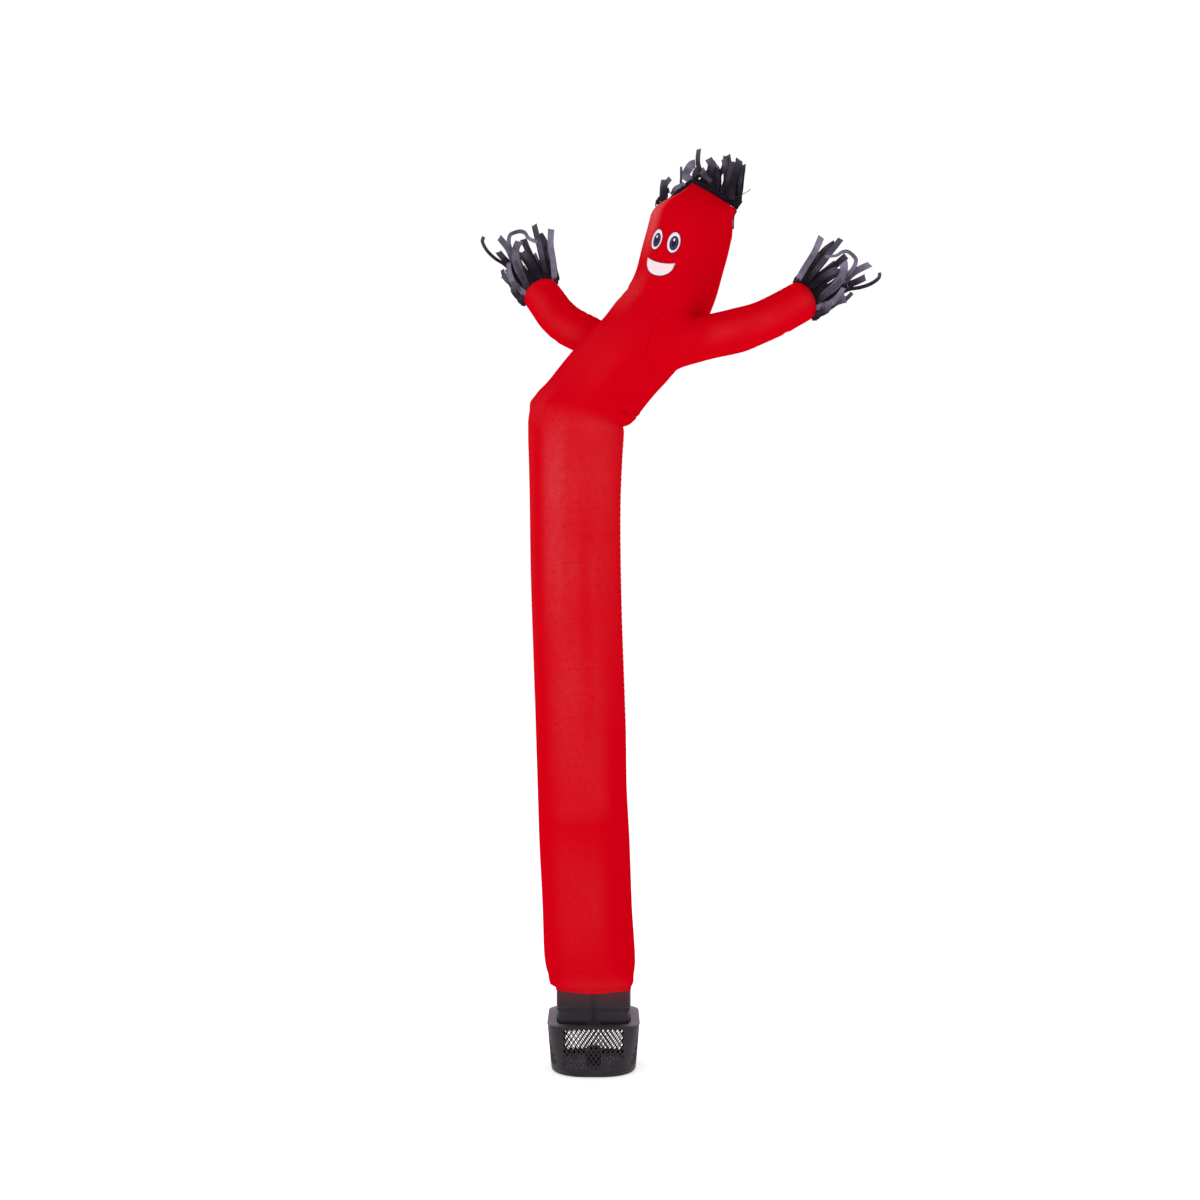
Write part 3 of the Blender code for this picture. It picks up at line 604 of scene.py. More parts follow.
class Wire:
    """A value or colour in a finish. An expression on it adds Math nodes."""

    def __init__(self, finish, socket):
        self.finish, self.socket = finish, socket

    def math(self, operation, *others):
        return self.finish.node("ShaderNodeMath", {"operation": operation}, (self, *others))

    def __add__(self, other):
        return self.math("ADD", other)

    __radd__ = __add__

    def __sub__(self, other):
        return self.math("SUBTRACT", other)

    def __rsub__(self, other):
        return self.finish.node("ShaderNodeMath", {"operation": "SUBTRACT"}, (other, self))

    def __mul__(self, other):
        return self.math("MULTIPLY", other)

    __rmul__ = __mul__

    def wave(self, pitch):
        """A sine of that pitch, from -1 to 1."""
        return (self * (tau / pitch)).math("SINE")

    def pulse(self, pitch, width):
        """1 on a thin line at each multiple of the pitch, and 0 between them."""
        return 1 - (self.math("PINGPONG", pitch / 2)).rise(width / 2, width)

    def rise(self, low, high):
        """A smooth step from 0 at low to 1 at high."""
        settings = {"interpolation_type": "SMOOTHSTEP"}
        return self.finish.node("ShaderNodeMapRange", settings, {0: self, 1: low, 2: high})


class Finish:
    """A material in the making: its nodes, and what feeds its shader."""

    def __init__(self, name, **constants):
        self.material = bpy.data.materials.new(name)
        self.material.use_nodes = True
        self.tree = self.material.node_tree
        self.shader = self.tree.nodes["Principled BSDF"]
        for socket, value in constants.items():
            self.shader.inputs[socket.replace("_", " ")].default_value = value

    def node(self, kind, settings=None, inputs=(), out=0):
        """Add a node: its settings first, then the values or wires of its sockets, and give one output."""
        node = self.tree.nodes.new(kind)
        for name, value in (settings or {}).items():
            setattr(node, name, value)
        pairs = inputs.items() if isinstance(inputs, dict) else enumerate(inputs)
        for socket, value in pairs:
            self.feed(node.inputs[socket], value)
        return Wire(self, node.outputs[out])

    def feed(self, socket, value):
        if isinstance(value, Wire):
            self.tree.links.new(value.socket, socket)
        else:
            socket.default_value = value

    def set(self, **wires):
        for socket, value in wires.items():
            self.feed(self.shader.inputs[socket.replace("_", " ")], value)

    def place(self):
        """The point on the piece, in metres."""
        return self.node("ShaderNodeTexCoord", out="Object")

    def axis(self, wire, name):
        """One of a vector's three values."""
        return self.node("ShaderNodeSeparateXYZ", inputs=(wire,), out=name)

    def cloth_place(self):
        """How far round from the seam, and how far along, in metres."""
        uv = self.node("ShaderNodeUVMap", {"uv_map": "cloth"})
        return self.axis(uv, "X"), self.axis(uv, "Y")

    def attribute(self, name):
        """A value that the mesh holds at each vertex."""
        return self.node("ShaderNodeAttribute", {"attribute_name": name}, out="Fac")

    def noise(self, scale, detail=2.0, place=None):
        inputs = {"Vector": place or self.place(), "Scale": scale, "Detail": detail}
        return self.node("ShaderNodeTexNoise", inputs=inputs)

    def mix(self, share, start, end):
        """A colour between two others."""
        start, end = ((*c, 1.0) if isinstance(c, tuple) else c for c in (start, end))
        settings = {"data_type": "RGBA"}
        return self.node("ShaderNodeMix", settings, {0: share, 6: start, 7: end}, out=2)

    def bump(self, height, distance, strength=1.0, under=None):
        inputs = {"Height": height, "Distance": distance, "Strength": strength}
        if under:
            inputs["Normal"] = under
        return self.node("ShaderNodeBump", inputs=inputs)


THREAD_PITCH, THREAD = 0.006, 0.0007  # the ripstop's heavier threads
WEAVE_PITCH, STITCH_PITCH = 0.0012, 0.004
SLATE = (0.055, 0.062, 0.082)
# painted light: the pale lavender painted on plastic faces that look up
PAINTED_TOP_LIGHT = (0.205, 0.162, 0.218)
# painted reflection: the red light that the cloth throws on the plastic near it, painted into the plastic's
# colour
CLOTH_REFLECTED_RED = (0.130, 0.004, 0.010)  # the cloth's colour on the plastic near it


def shade(colour, factor):
    """A colour made darker, or lighter."""
    return tuple(min(channel * factor, 1.0) for channel in colour)


def red_nylon(colour):
    """Coated ripstop nylon: a fine grid of heavier threads, sewn seams and a doubled hem."""
    finish = Finish("red_nylon", Specular_IOR_Level=0.0)
    around_tube, along = finish.cloth_place()
    threads = around_tube.pulse(THREAD_PITCH, THREAD) + along.pulse(THREAD_PITCH, THREAD)
    weave = around_tube.wave(WEAVE_PITCH) * along.wave(WEAVE_PITCH)
    off_seam = around_tube.math("PINGPONG", HALF_GIRTH / 2)
    near_seam = 1 - off_seam.rise(0.006, 0.012)
    stitch_line = near_seam * (off_seam.pulse(0.010, 0.0014))
    dashes = along.wave(STITCH_PITCH).rise(-0.5, 0.1)
    hem_line = along.pulse(0.014, 0.0015) * (1 - along.rise(0.017, 0.019))
    stitches = stitch_line * dashes + hem_line * around_tube.wave(STITCH_PITCH).rise(-0.5, 0.1)
    clouds = finish.noise(2.5, 3.0).rise(0.3, 0.7)
    wrinkles = finish.noise(26.0, 4.0)
    aside = (around_tube - HALF_GIRTH * 1.5).math("ABSOLUTE")
    slants = (along - aside * 0.7) * 230, (aside + along * 0.4) * 45
    slant = finish.node("ShaderNodeCombineXYZ", inputs=slants)
    ripples = finish.noise(1.0, 2.0, slant).rise(0.30, 0.70)
    # painted sheen: the sheen attribute, broken up along the ripples and wrinkles, pales the cloth's colour
    # toward a pinker red where light falls
    sheen = finish.attribute("sheen")
    sheen = sheen * (0.60 + 0.70 * ripples + 0.6 * (wrinkles - 0.5))
    base = finish.mix(clouds * 0.5, shade(colour, 0.97), shade(colour, 1.03))
    base = finish.mix(sheen, base, (colour[0] * 1.2, colour[1] + 0.1, colour[2] + 0.11))
    base = finish.mix(threads.math("MINIMUM", 1.0) * 0.10, base, shade(colour, 0.88))
    base = finish.mix(near_seam * 0.12, base, shade(colour, 0.80))
    base = finish.mix(stitches.math("MINIMUM", 1.0) * 0.45, base, shade(colour, 0.62))
    soft = finish.bump(wrinkles + ripples * 0.30, 0.0014, 0.4)
    fine = finish.bump(threads * 0.6 + weave * 0.3 + stitches, 0.0003, 0.5, soft)
    roughness = 0.50 + 0.10 * wrinkles - 0.06 * threads.math("MINIMUM", 1.0)
    finish.set(Base_Color=base, Roughness=roughness, Normal=fine)
    return finish.material


def ribbon_nylon(dark, pale):
    """Thin ribbon, from nearly black where it lies doubled to smoky where light comes through."""
    finish = Finish("ribbon_nylon", Specular_IOR_Level=0.05)
    across, along = finish.cloth_place()
    tone = finish.attribute("tone")
    streaks = finish.noise(40.0, 3.0).rise(0.35, 0.75)
    ribs = across.wave(0.0016)
    selvedge = along.wave(0.0012)
    # painted light: the tone paints the light that comes through the thin ribbon, from the dark colour to the
    # pale one, tinted slate in patches
    share = (tone + 0.22 * (streaks - 0.5) * (0.3 + tone)).rise(0.0, 1.0)
    slate = finish.noise(16.0, 2.0).rise(0.38, 0.62)
    base = finish.mix(share, dark, finish.mix(slate * 0.55, pale, SLATE))
    base = finish.mix(streaks * 0.15, base, shade(dark, 0.6))
    creases = finish.noise(70.0, 2.0)
    normal = finish.bump(creases * 0.8 + ribs * 0.12 + selvedge * 0.08, 0.0010, 0.5)
    finish.set(Base_Color=base, Roughness=0.34 + 0.16 * streaks, Normal=normal)
    return finish.material


def moulded_plastic(name, colour, grain=0.0004, gloss=0.42, red_reflection=0.0, grooves=()):
    """Black moulded plastic: spark grain, faint scuffs, painted light on what faces up, painted red reflection
    of the cloth near the hem.

    Grooves hold painted shade: their heights, and how high the shade reaches.
    """
    finish = Finish(name, Specular_IOR_Level=0.16)
    spark = finish.noise(900.0, 3.0)
    scuffs = finish.noise(22.0, 6.0).rise(0.55, 0.8)
    flow = finish.noise(6.0, 3.0).rise(0.3, 0.7)
    normal_up = finish.node("ShaderNodeNewGeometry", out="Normal")
    up = finish.axis(normal_up, "Z").rise(0.3, 1.0)
    base = finish.mix(flow * 0.5, shade(colour, 0.85), shade(colour, 1.2))
    base = finish.mix(scuffs * 0.25, base, shade(colour, 2.4))
    place = finish.place()
    aside = finish.axis(place, "X").math("ABSOLUTE")
    back = finish.axis(place, "Y")
    height = finish.axis(place, "Z")
    # painted light: faces that look up are painted paler, most at the sides and on the pan's low floor, least
    # at the front
    painted_top_light = 0.25 + 0.70 * aside.rise(0.07, 0.13) + 0.45 * (1 - height.rise(0.02, 0.04))
    painted_top_light = up * painted_top_light * (0.35 + 0.65 * back.rise(-0.155, -0.10))
    base = finish.mix(painted_top_light, base, PAINTED_TOP_LIGHT)
    # painted red reflection of the cloth on the plastic, up near the hem
    base = finish.mix(height.rise(0.225, 0.300) * red_reflection, base, CLOTH_REFLECTED_RED)
    shades = [(height, middle, reach) for middle, reach in grooves]
    if grooves:
        # painted shade lines run beside the collar's ribs as well
        shades += [(aside, (RIB_SPACING + side * RIB[0] * 1.3) / 2, 0.0015) for side in (-1, 1)]
    for value, middle, reach in shades:
        shaded = 1 - (value - middle).math("ABSOLUTE").rise(reach / 2, reach)
        base = finish.mix(shaded * 0.65, base, shade(colour, 0.25))
    roughness = gloss + 0.12 * scuffs + 0.10 * up + 0.05 * spark
    finish.set(Base_Color=base, Roughness=roughness, Normal=finish.bump(spark, grain, 0.35))
    return finish.material


def motor_enamel(colour):
    """Baked enamel on a drawn steel can, with turning marks and a little rubbing on its edges."""
    finish = Finish("motor_enamel", Specular_IOR_Level=0.5, Metallic=0.5)
    place = finish.place()
    height = finish.axis(place, "Z")
    rings = height.wave(0.0011)
    peel = finish.noise(260.0, 2.0)
    rubbed = finish.noise(30.0, 5.0).rise(0.6, 0.8)
    base = finish.mix(rubbed * 0.4, colour, shade(colour, 3.0))
    normal = finish.bump(peel + rings * 0.3, 0.0002, 0.4)
    finish.set(Base_Color=base, Roughness=0.38 + 0.15 * rubbed, Normal=normal)
    return finish.material


def print_ink(name, colour, edge=0.9):
    """Screen-printed ink on the cloth, whose weave shows through it."""
    finish = Finish(name, Specular_IOR_Level=0.12)
    weave = finish.noise(800.0, 2.0)
    wear = finish.noise(60.0, 4.0).rise(0.5, 0.85)
    base = finish.mix(wear * 0.25, colour, shade(colour, edge))
    finish.set(Base_Color=base, Roughness=0.5 + 0.1 * weave, Normal=finish.bump(weave, 0.0002, 0.4))
    return finish.material


# ---------------------------------------------------------------- cloth pieces


def keeps_thickness(outer, hidden, places, start, end):
    """Whether the cloth keeps its thickness if the hidden side runs straight from one ring to another."""
    for k in range(start + 1, end):
        share = (places[k] - places[start]) / (places[end] - places[start])
        for out, low, here, high in zip(outer[k], hidden[start], hidden[k], hidden[end]):
            thickness = (out - low.lerp(high, share)).dot((out - here).normalized())
            if not THINNEST < thickness < THICKEST:
                return False
    return True


def needed_rings(outer, hidden, places):
    """Which rings the hidden side needs so that the cloth keeps its thickness between them."""
    kept = [0]
    while kept[-1] < len(hidden) - 1:
        end = kept[-1] + 1
        while end + 1 < len(hidden) and keeps_thickness(outer, hidden, places, kept[-1], end + 1):
            end += 1
        kept.append(end)
    return kept


def seam_turns(count, crowding):
    """Angles round a tube from its seam, closer together beside both seams."""
    turns = [tau * i / count for i in range(count)]
    return [turn - crowding * sin(2 * turn) for turn in turns]


class ClothBody:
    """The fine tube and head: points anywhere on it, and its mesh."""

    sides = 144
    crowding = 0.26
    hem_step, hem_reach, step = 0.003, 0.075, 0.0050
    end_steps = 22

    def __init__(self):
        self.tube = BodyTube()
        self.creases = crease_rows(CREASES, self.tube.place_at)

    def relief(self, place, angle, hidden=False):
        return body_relief(self.tube, self.creases, place, angle, hidden)

    def surface(self, place, angle, out=0.0):
        return self.tube.point(place, angle, self.relief(place, angle) + out)

    def outward(self, place, angle):
        """The way the cloth faces, without its relief."""
        step, turn = 0.004, 0.02
        up = self.tube.point(place + step, angle) - self.tube.point(place - step, angle)
        round_way = self.tube.point(place, angle + turn) - self.tube.point(place, angle - turn)
        return round_way.cross(up).normalized()

    def places(self):
        places = [i * self.hem_step for i in range(int(self.hem_reach / self.hem_step))]
        left = self.tube.length - self.hem_reach
        count = ceil(left / self.step)
        return places + [self.hem_reach + left * i / count for i in range(count + 1)]

    def ring(self, place, hidden=False):
        seam = self.tube.seam_angle(place)
        turns = seam_turns(self.sides, self.crowding)
        return [self.tube.point(place, seam + t, self.relief(place, seam + t, hidden)) for t in turns], turns

    def end_ring(self, quarter, hidden=False):
        section = self.tube.section(self.tube.length)
        turns = seam_turns(self.sides, self.crowding)
        deep = CLOTH if hidden else 0.0
        points = []
        for turn in turns:
            off = (self.relief(self.tube.length, turn, hidden) + deep) * cos(quarter) - deep
            if not hidden:
                off += END_TUCK * sin(turn * 40) * sin(quarter) ** 6
            points.append(end_point(section, head_seam, HEAD_CLOSING, quarter, turn, off, hidden))
        return points, turns

    def outer_tree(self):
        """The outside of the tube and head, to fit other pieces to."""
        rings = [self.ring(place)[0] for place in self.places()[::3]]
        rings += [self.end_ring(pi / 2 * share)[0] for share in (0.3, 0.6, 0.9)]
        points = [point for ring in rings for point in ring]
        faces = []
        for k in range(len(rings) - 1):
            for i in range(self.sides):
                j = (i + 1) % self.sides
                low, high = k * self.sides, (k + 1) * self.sides
                faces.append((low + i, low + j, high + j, high + i))
        return BVHTree.FromPolygons(points, faces)

    def build(self):
        build = bmesh.new()
        layer, sheen = build.loops.layers.uv.new("cloth"), build.verts.layers.float.new("sheen")
        places = self.places()
        rows = [self.ring(place) for place in places]
        quarters = [pi / 2 * (i / self.end_steps) for i in range(1, self.end_steps + 1)]
        rows += [self.end_ring(quarter) for quarter in quarters]
        heights = places + [self.tube.length + HEAD_REACH * sin(quarter) for quarter in quarters]
        outer = add_rings(build, [row[0] for row in rows])
        join_rings(build, outer)
        close_seam(build, outer[-1])
        hidden = [self.ring(place, True) for place in places]
        hidden += [self.end_ring(quarter, True) for quarter in quarters]
        kept = needed_rings([row[0] for row in rows], [row[0] for row in hidden], heights)
        inner_rows = [hidden[k] for k in kept]
        inner = add_rings(build, [row[0] for row in inner_rows])
        join_rings(build, inner, inward=True)
        close_seam(build, inner[-1])
        ring_faces(build, outer[0], inner[0])
        inner_heights = [heights[k] for k in kept]
        rings, turns = outer + inner, [row[1] for row in rows + inner_rows]
        lay_out_cloth(build, rings, turns, heights + inner_heights, layer)
        for k, ring in enumerate(outer):
            height = smooth_row(TUBE, self.tube.keys, min(heights[k], self.tube.length))[1]
            height += max(0.0, heights[k] - self.tube.length)
            offset = self.tube.seam_angle(heights[k]) if k < len(places) else 0.0
            for vert, turn in zip(ring, turns[k]):
                vert[sheen] = body_sheen(height, turn + offset - self.tube.side_turn(height))
        return build


SLEEVE_CLEAR = 1.0  # where a sleeve's cloth starts along its weave, clear of the hem's stitching
SLEEVE_FIT = {
    # how far the sleeve's cloth eases onto the body's: above, in front, below, behind
    "left": (0.010, 0.030, 0.014, 0.050),
    "right": (0.014, 0.120, 0.045, 0.040),
}
SLEEVE_CREASES = {
    # distance from the root, angle, half length, lean, half width, depth
    "left": (
        (0.19, 20.0, 0.050, 76.0, 0.009, 0.0030),
        (0.24, -10.0, 0.045, 96.0, 0.009, 0.0026),
        (0.23, -70.0, 0.060, 60.0, 0.010, 0.0014),
        (0.30, 150.0, 0.060, 84.0, 0.010, 0.0016),
        (0.36, -80.0, 0.060, 10.0, 0.010, 0.0012),
    ),
    "right": (
        (0.16, 170.0, 0.060, 78.0, 0.010, 0.0030),
        (0.21, 150.0, 0.060, 98.0, 0.010, 0.0022),
        (0.20, 60.0, 0.060, 66.0, 0.010, 0.0018),
        (0.34, -60.0, 0.070, 24.0, 0.012, 0.0012),
        (0.40, -120.0, 0.060, -20.0, 0.012, 0.0012),
        (0.45, 10.0, 0.050, 84.0, 0.010, 0.0020),
    ),
}


class ClothSleeve:
    """A fine sleeve, eased onto the body where it is sewn on."""

    sides = 96
    crowding = 0.2
    step = 0.0058
    ease_steps = 10
    end_steps = 14
    seat = 0.0004  # cloth of the sleeve to cloth of the body

    def __init__(self, side, body_tree):
        self.side, self.tube, self.tree = side, SleeveTube(side), body_tree
        self.radius = self.tube.rows[-1][3]
        self.creases = crease_rows(SLEEVE_CREASES[side])

    def relief(self, place, angle):
        off = min(abs(around(angle)), abs(around(angle - pi))) * self.radius
        relief = crease_relief(place, angle, self.creases, self.radius)
        relief += seam_relief(place, off) * SLEEVE_PUCKERS
        billow = ripple(cos(angle) * 2, sin(angle) * 2, place * 9 + len(self.side))
        return relief + BILLOW * billow

    def height_over_body(self, point):
        near, normal, _, _ = self.tree.find_nearest(point)
        return (point - near).dot(normal)

    def lift(self, point, height):
        """Keep a point at least that far outside the body's cloth."""
        near, normal, _, _ = self.tree.find_nearest(point)
        short = height - (point - near).dot(normal)
        return point + normal * short if short > 0 else point

    def root(self, angle):
        """The place where a line along the sleeve comes out of the body."""
        inside, outside = 0.0, self.tube.length * 0.9
        for _ in range(16):
            middle = (inside + outside) / 2
            if self.height_over_body(self.tube.point(middle, angle)) < self.seat:
                inside = middle
            else:
                outside = middle
        return outside

    def ease(self, angle):
        above, front, below, behind = SLEEVE_FIT[self.side]
        sideways, deep = cos(angle), sin(angle)
        edge = (above if sideways > 0 else below) * sideways**2
        if self.side == "right":
            edge = (below if sideways > 0 else above) * sideways**2
        return edge + (behind if deep > 0 else front) * deep**2

    def foot_thickness(self, step):
        """How thick the cloth is on the way up from its thinner sewn edge."""
        return CLOTH * (0.55 + 0.45 * min(1.0, 4 * step / self.ease_steps))

    def under(self, rings, step):
        """The hidden side under a ring of the eased foot, clear of the body's cloth."""
        ring = rings[step]
        points = []
        for i, point in enumerate(ring):
            up = rings[step + 1][i] - rings[max(step - 1, 0)][i]
            normal = (ring[(i + 1) % self.sides] - ring[i - 1]).cross(up).normalized()
            points.append(self.lift(point - normal * self.foot_thickness(step), self.seat))
        return points

    def column(self, angle, count):
        """Points from the sewn foot to the last section, and how far along the sleeve each is."""
        root, reach = self.root(angle), self.ease(angle)
        corner = self.tube.point(root, angle)
        foot = self.lift(corner + self.tube.section(root).outward(angle) * reach, -1.0)
        near, normal, _, _ = self.tree.find_nearest(foot)
        foot = near + normal * self.seat
        landing = self.tube.point(root + reach, angle, self.relief(root + reach, angle))
        points, places = [], []
        for i in range(self.ease_steps):
            t = i / self.ease_steps
            point = foot * (1 - t) ** 2 + corner * (2 * t * (1 - t)) + landing * t**2
            points.append(self.lift(point, self.seat + self.foot_thickness(i)))
            places.append(root + reach * (t - 1))
        for i in range(count + 1):
            place = root + reach + (self.tube.length - root - reach) * i / count
            points.append(self.tube.point(place, angle, self.relief(place, angle)))
            places.append(place)
        return points, places

    def build(self):
        build = bmesh.new()
        layer, sheen = build.loops.layers.uv.new("cloth"), build.verts.layers.float.new("sheen")
        turns = seam_turns(self.sides, self.crowding)
        count = ceil(self.tube.length / self.step)
        columns = [self.column(turn, count) for turn in turns]
        rings = [[column[0][k] for column in columns] for k in range(self.ease_steps + count + 1)]
        heights = [columns[0][1][k] for k in range(len(rings))]
        section = self.tube.section(self.tube.length)
        for i in range(1, self.end_steps + 1):
            quarter = pi / 2 * i / self.end_steps
            ring = []
            for turn in turns:
                off = self.relief(self.tube.length, turn) * cos(quarter)
                off += END_TUCK * sin(turn * 26) * sin(quarter) ** 6
                ring.append(end_point(section, hand_seam, HAND_CLOSING, quarter, turn, off))
            rings.append(ring)
            heights.append(self.tube.length + HAND_REACH * sin(quarter))
        outer = add_rings(build, rings)
        join_rings(build, outer)
        close_seam(build, outer[-1])
        inner_rings = [self.under(rings, step) for step in range(self.ease_steps)]
        for k in range(self.ease_steps, self.ease_steps + count + 1):
            ring = []
            for (_, places), turn in zip(columns, turns):
                point = self.tube.point(places[k], turn, self.relief(places[k], turn) - CLOTH)
                ring.append(self.lift(point, self.seat))
            inner_rings.append(ring)
        for i in range(1, self.end_steps + 1):
            quarter = pi / 2 * i / self.end_steps
            ring = []
            for turn in turns:
                off = self.relief(self.tube.length, turn) * cos(quarter) - CLOTH
                ring.append(end_point(section, hand_seam, HAND_CLOSING, quarter, turn, off, True))
            inner_rings.append(ring)
        inner = add_rings(build, inner_rings)
        join_rings(build, inner, inward=True)
        close_seam(build, inner[-1])
        ring_faces(build, outer[0], inner[0])
        heights = [SLEEVE_CLEAR + height for height in heights * 2]
        lay_out_cloth(build, outer + inner, [turns] * len(heights), heights, layer)
        for k, ring in enumerate(outer):
            for vert, turn in zip(ring, turns):
                vert[sheen] = sleeve_sheen(self.side, heights[k], turn) * rise(k, 0, SHEEN_START)
        return build


# ---------------------------------------------------------------- ribbons

RIBBON = 0.0007  # thickness
RIBBON_STEP = 0.009
RIBBON_SWAY = 0.010  # how far it strays in depth
RIBBON_CURL = 0.5  # radians that it may turn beyond its twist
RIBBON_CUP = 0.10  # how hollow a ribbon is across, as a share of its width
# painted light: a ribbon's tip is painted paler, as more light comes through it there
TIP_FADE = (0.60, 1.10)  # share of a ribbon where it starts to turn smoky, and how fast
TONE_PATCHES = 0.9  # how much its tone varies on the way
ROOT_WIDTH = 0.55  # how wide it is at its gathered root, as a share of its width
ROOT_LEAN = Vector((0.35, 0.5))  # how little of a seam's outward way a root takes, and how much of the tube's
HAIR_RIBBONS = (
    # root along the seam, its course as (across, along) from the section, depth at the tip, width, twist in
    # degrees, tone from black to smoky as painted light that comes through the thin ribbon
    (0.01, ((0.1500, 0.1215), (0.1310, 0.1860), (0.1090, 0.2520)), -0.006, 0.015, 12, 0.10),
    (0.05, ((0.1240, 0.1350), (0.1129, 0.1770), (0.0910, 0.2525)), 0.006, 0.024, -8, 0.18),
    (0.11, ((0.1030, 0.1450), (0.0890, 0.1822), (0.0868, 0.2461)), -0.012, 0.024, 6, 0.08),
    (0.16, ((0.0827, 0.1500), (0.0774, 0.1980), (0.0450, 0.2714)), 0.004, 0.025, 8, 0.22),
    (0.22, ((0.0520, 0.1600), (0.0370, 0.2000), (0.0160, 0.2280)), 0.014, 0.020, 5, 0.12),
    (0.25, ((0.0480, 0.1550), (0.0379, 0.1921), (0.0065, 0.2286), (-0.0123, 0.2465)),
     -0.008, 0.026, -10, 0.16),
    (0.31, ((0.0200, 0.1700), (-0.0018, 0.1862), (-0.0197, 0.2012)), -0.012, 0.022, 0, 0.10),
    (0.35, ((0.0000, 0.1700), (-0.0240, 0.1947), (-0.0477, 0.2266), (-0.0621, 0.2763)),
     0.004, 0.016, 14, 0.25),
    (0.44, ((-0.0420, 0.1720), (-0.0560, 0.1980), (-0.0470, 0.2150)), 0.012, 0.020, 0, 0.35),
    (0.57, ((-0.0759, 0.1752), (-0.0677, 0.2090), (-0.0520, 0.2201)), -0.014, 0.028, 18, 0.70),
    (0.70, ((-0.0900, 0.1500), (-0.0996, 0.1776), (-0.1075, 0.2061)), 0.006, 0.009, 30, 0.30),
    (0.82, ((-0.1080, 0.1120), (-0.1021, 0.1269), (-0.0893, 0.1377), (-0.0735, 0.1489)),
     -0.010, 0.017, 8, 0.55),
    (0.93, ((-0.1400, 0.0900), (-0.1512, 0.1164), (-0.1590, 0.1539)), 0.006, 0.024, -12, 0.14),
    (0.91, ((-0.1300, 0.0980), (-0.1398, 0.1122), (-0.1412, 0.1358), (-0.1307, 0.1582)),
     -0.008, 0.018, 12, 0.20),
    (0.965, ((-0.1495, 0.0482), (-0.1588, 0.0706), (-0.1529, 0.0923)), -0.004, 0.005, 0, 0.05),
    (0.03, ((0.1400, 0.1165), (0.1330, 0.1535), (0.1190, 0.2055), (0.1100, 0.2480)), 0.012, 0.024, 6, 0.04),
    (0.08, ((0.1204, 0.1234), (0.1089, 0.1759), (0.1086, 0.2301), (0.1056, 0.2568)), -0.014, 0.026, -8, 0.10),
    (0.13, ((0.0985, 0.1363), (0.0830, 0.1828), (0.0861, 0.2268), (0.0859, 0.2540)), 0.016, 0.026, 10, 0.03),
    (0.19, ((0.0725, 0.1432), (0.0773, 0.1820), (0.0635, 0.2235), (0.0475, 0.2539)), -0.008, 0.022, -6, 0.08),
    (0.24, ((0.0520, 0.1458), (0.0410, 0.1934), (0.0487, 0.2323), (0.0423, 0.2695)), 0.010, 0.018, 12, 0.04),
    (0.29, ((0.0333, 0.1536), (0.0154, 0.1891), (0.0164, 0.2221), (0.0243, 0.2342)), -0.012, 0.026, 0, 0.07),
    (0.34, ((0.0071, 0.1605), (-0.0017, 0.1866), (0.0010, 0.2144), (-0.0049, 0.2409)),
     0.012, 0.024, -10, 0.14),
    (0.39, ((-0.0118, 0.1632), (-0.0074, 0.1858), (0.0005, 0.1979), (0.0199, 0.2117)),
     -0.006, 0.020, 8, 0.06),
    (0.46, ((-0.0383, 0.1702), (-0.0246, 0.1832), (0.0001, 0.1814), (0.0281, 0.1692)),
     -0.012, 0.015, 0, 0.05),
    (0.50, ((-0.0538, 0.1624), (-0.0453, 0.1911), (-0.0327, 0.1985), (-0.0276, 0.2102)),
     0.016, 0.020, 10, 0.28),
    (0.80, ((-0.1050, 0.1160), (-0.1131, 0.1037), (-0.0970, 0.1283), (-0.0880, 0.1379)),
     0.012, 0.016, 0, 0.45),
    (0.91, ((-0.1351, 0.0782), (-0.1463, 0.0931), (-0.1458, 0.1098), (-0.1319, 0.1230)),
     0.010, 0.020, 14, 0.08),
    (0.95, ((-0.1491, 0.0649), (-0.1556, 0.0750), (-0.1533, 0.0865), (-0.1405, 0.0940)),
     0.004, 0.012, 0, 0.05),
    (0.08, ((0.1420, 0.1400), (0.1489, 0.1447), (0.1650, 0.1529), (0.1777, 0.1665)), -0.002, 0.0025, 0, 0.50),
)
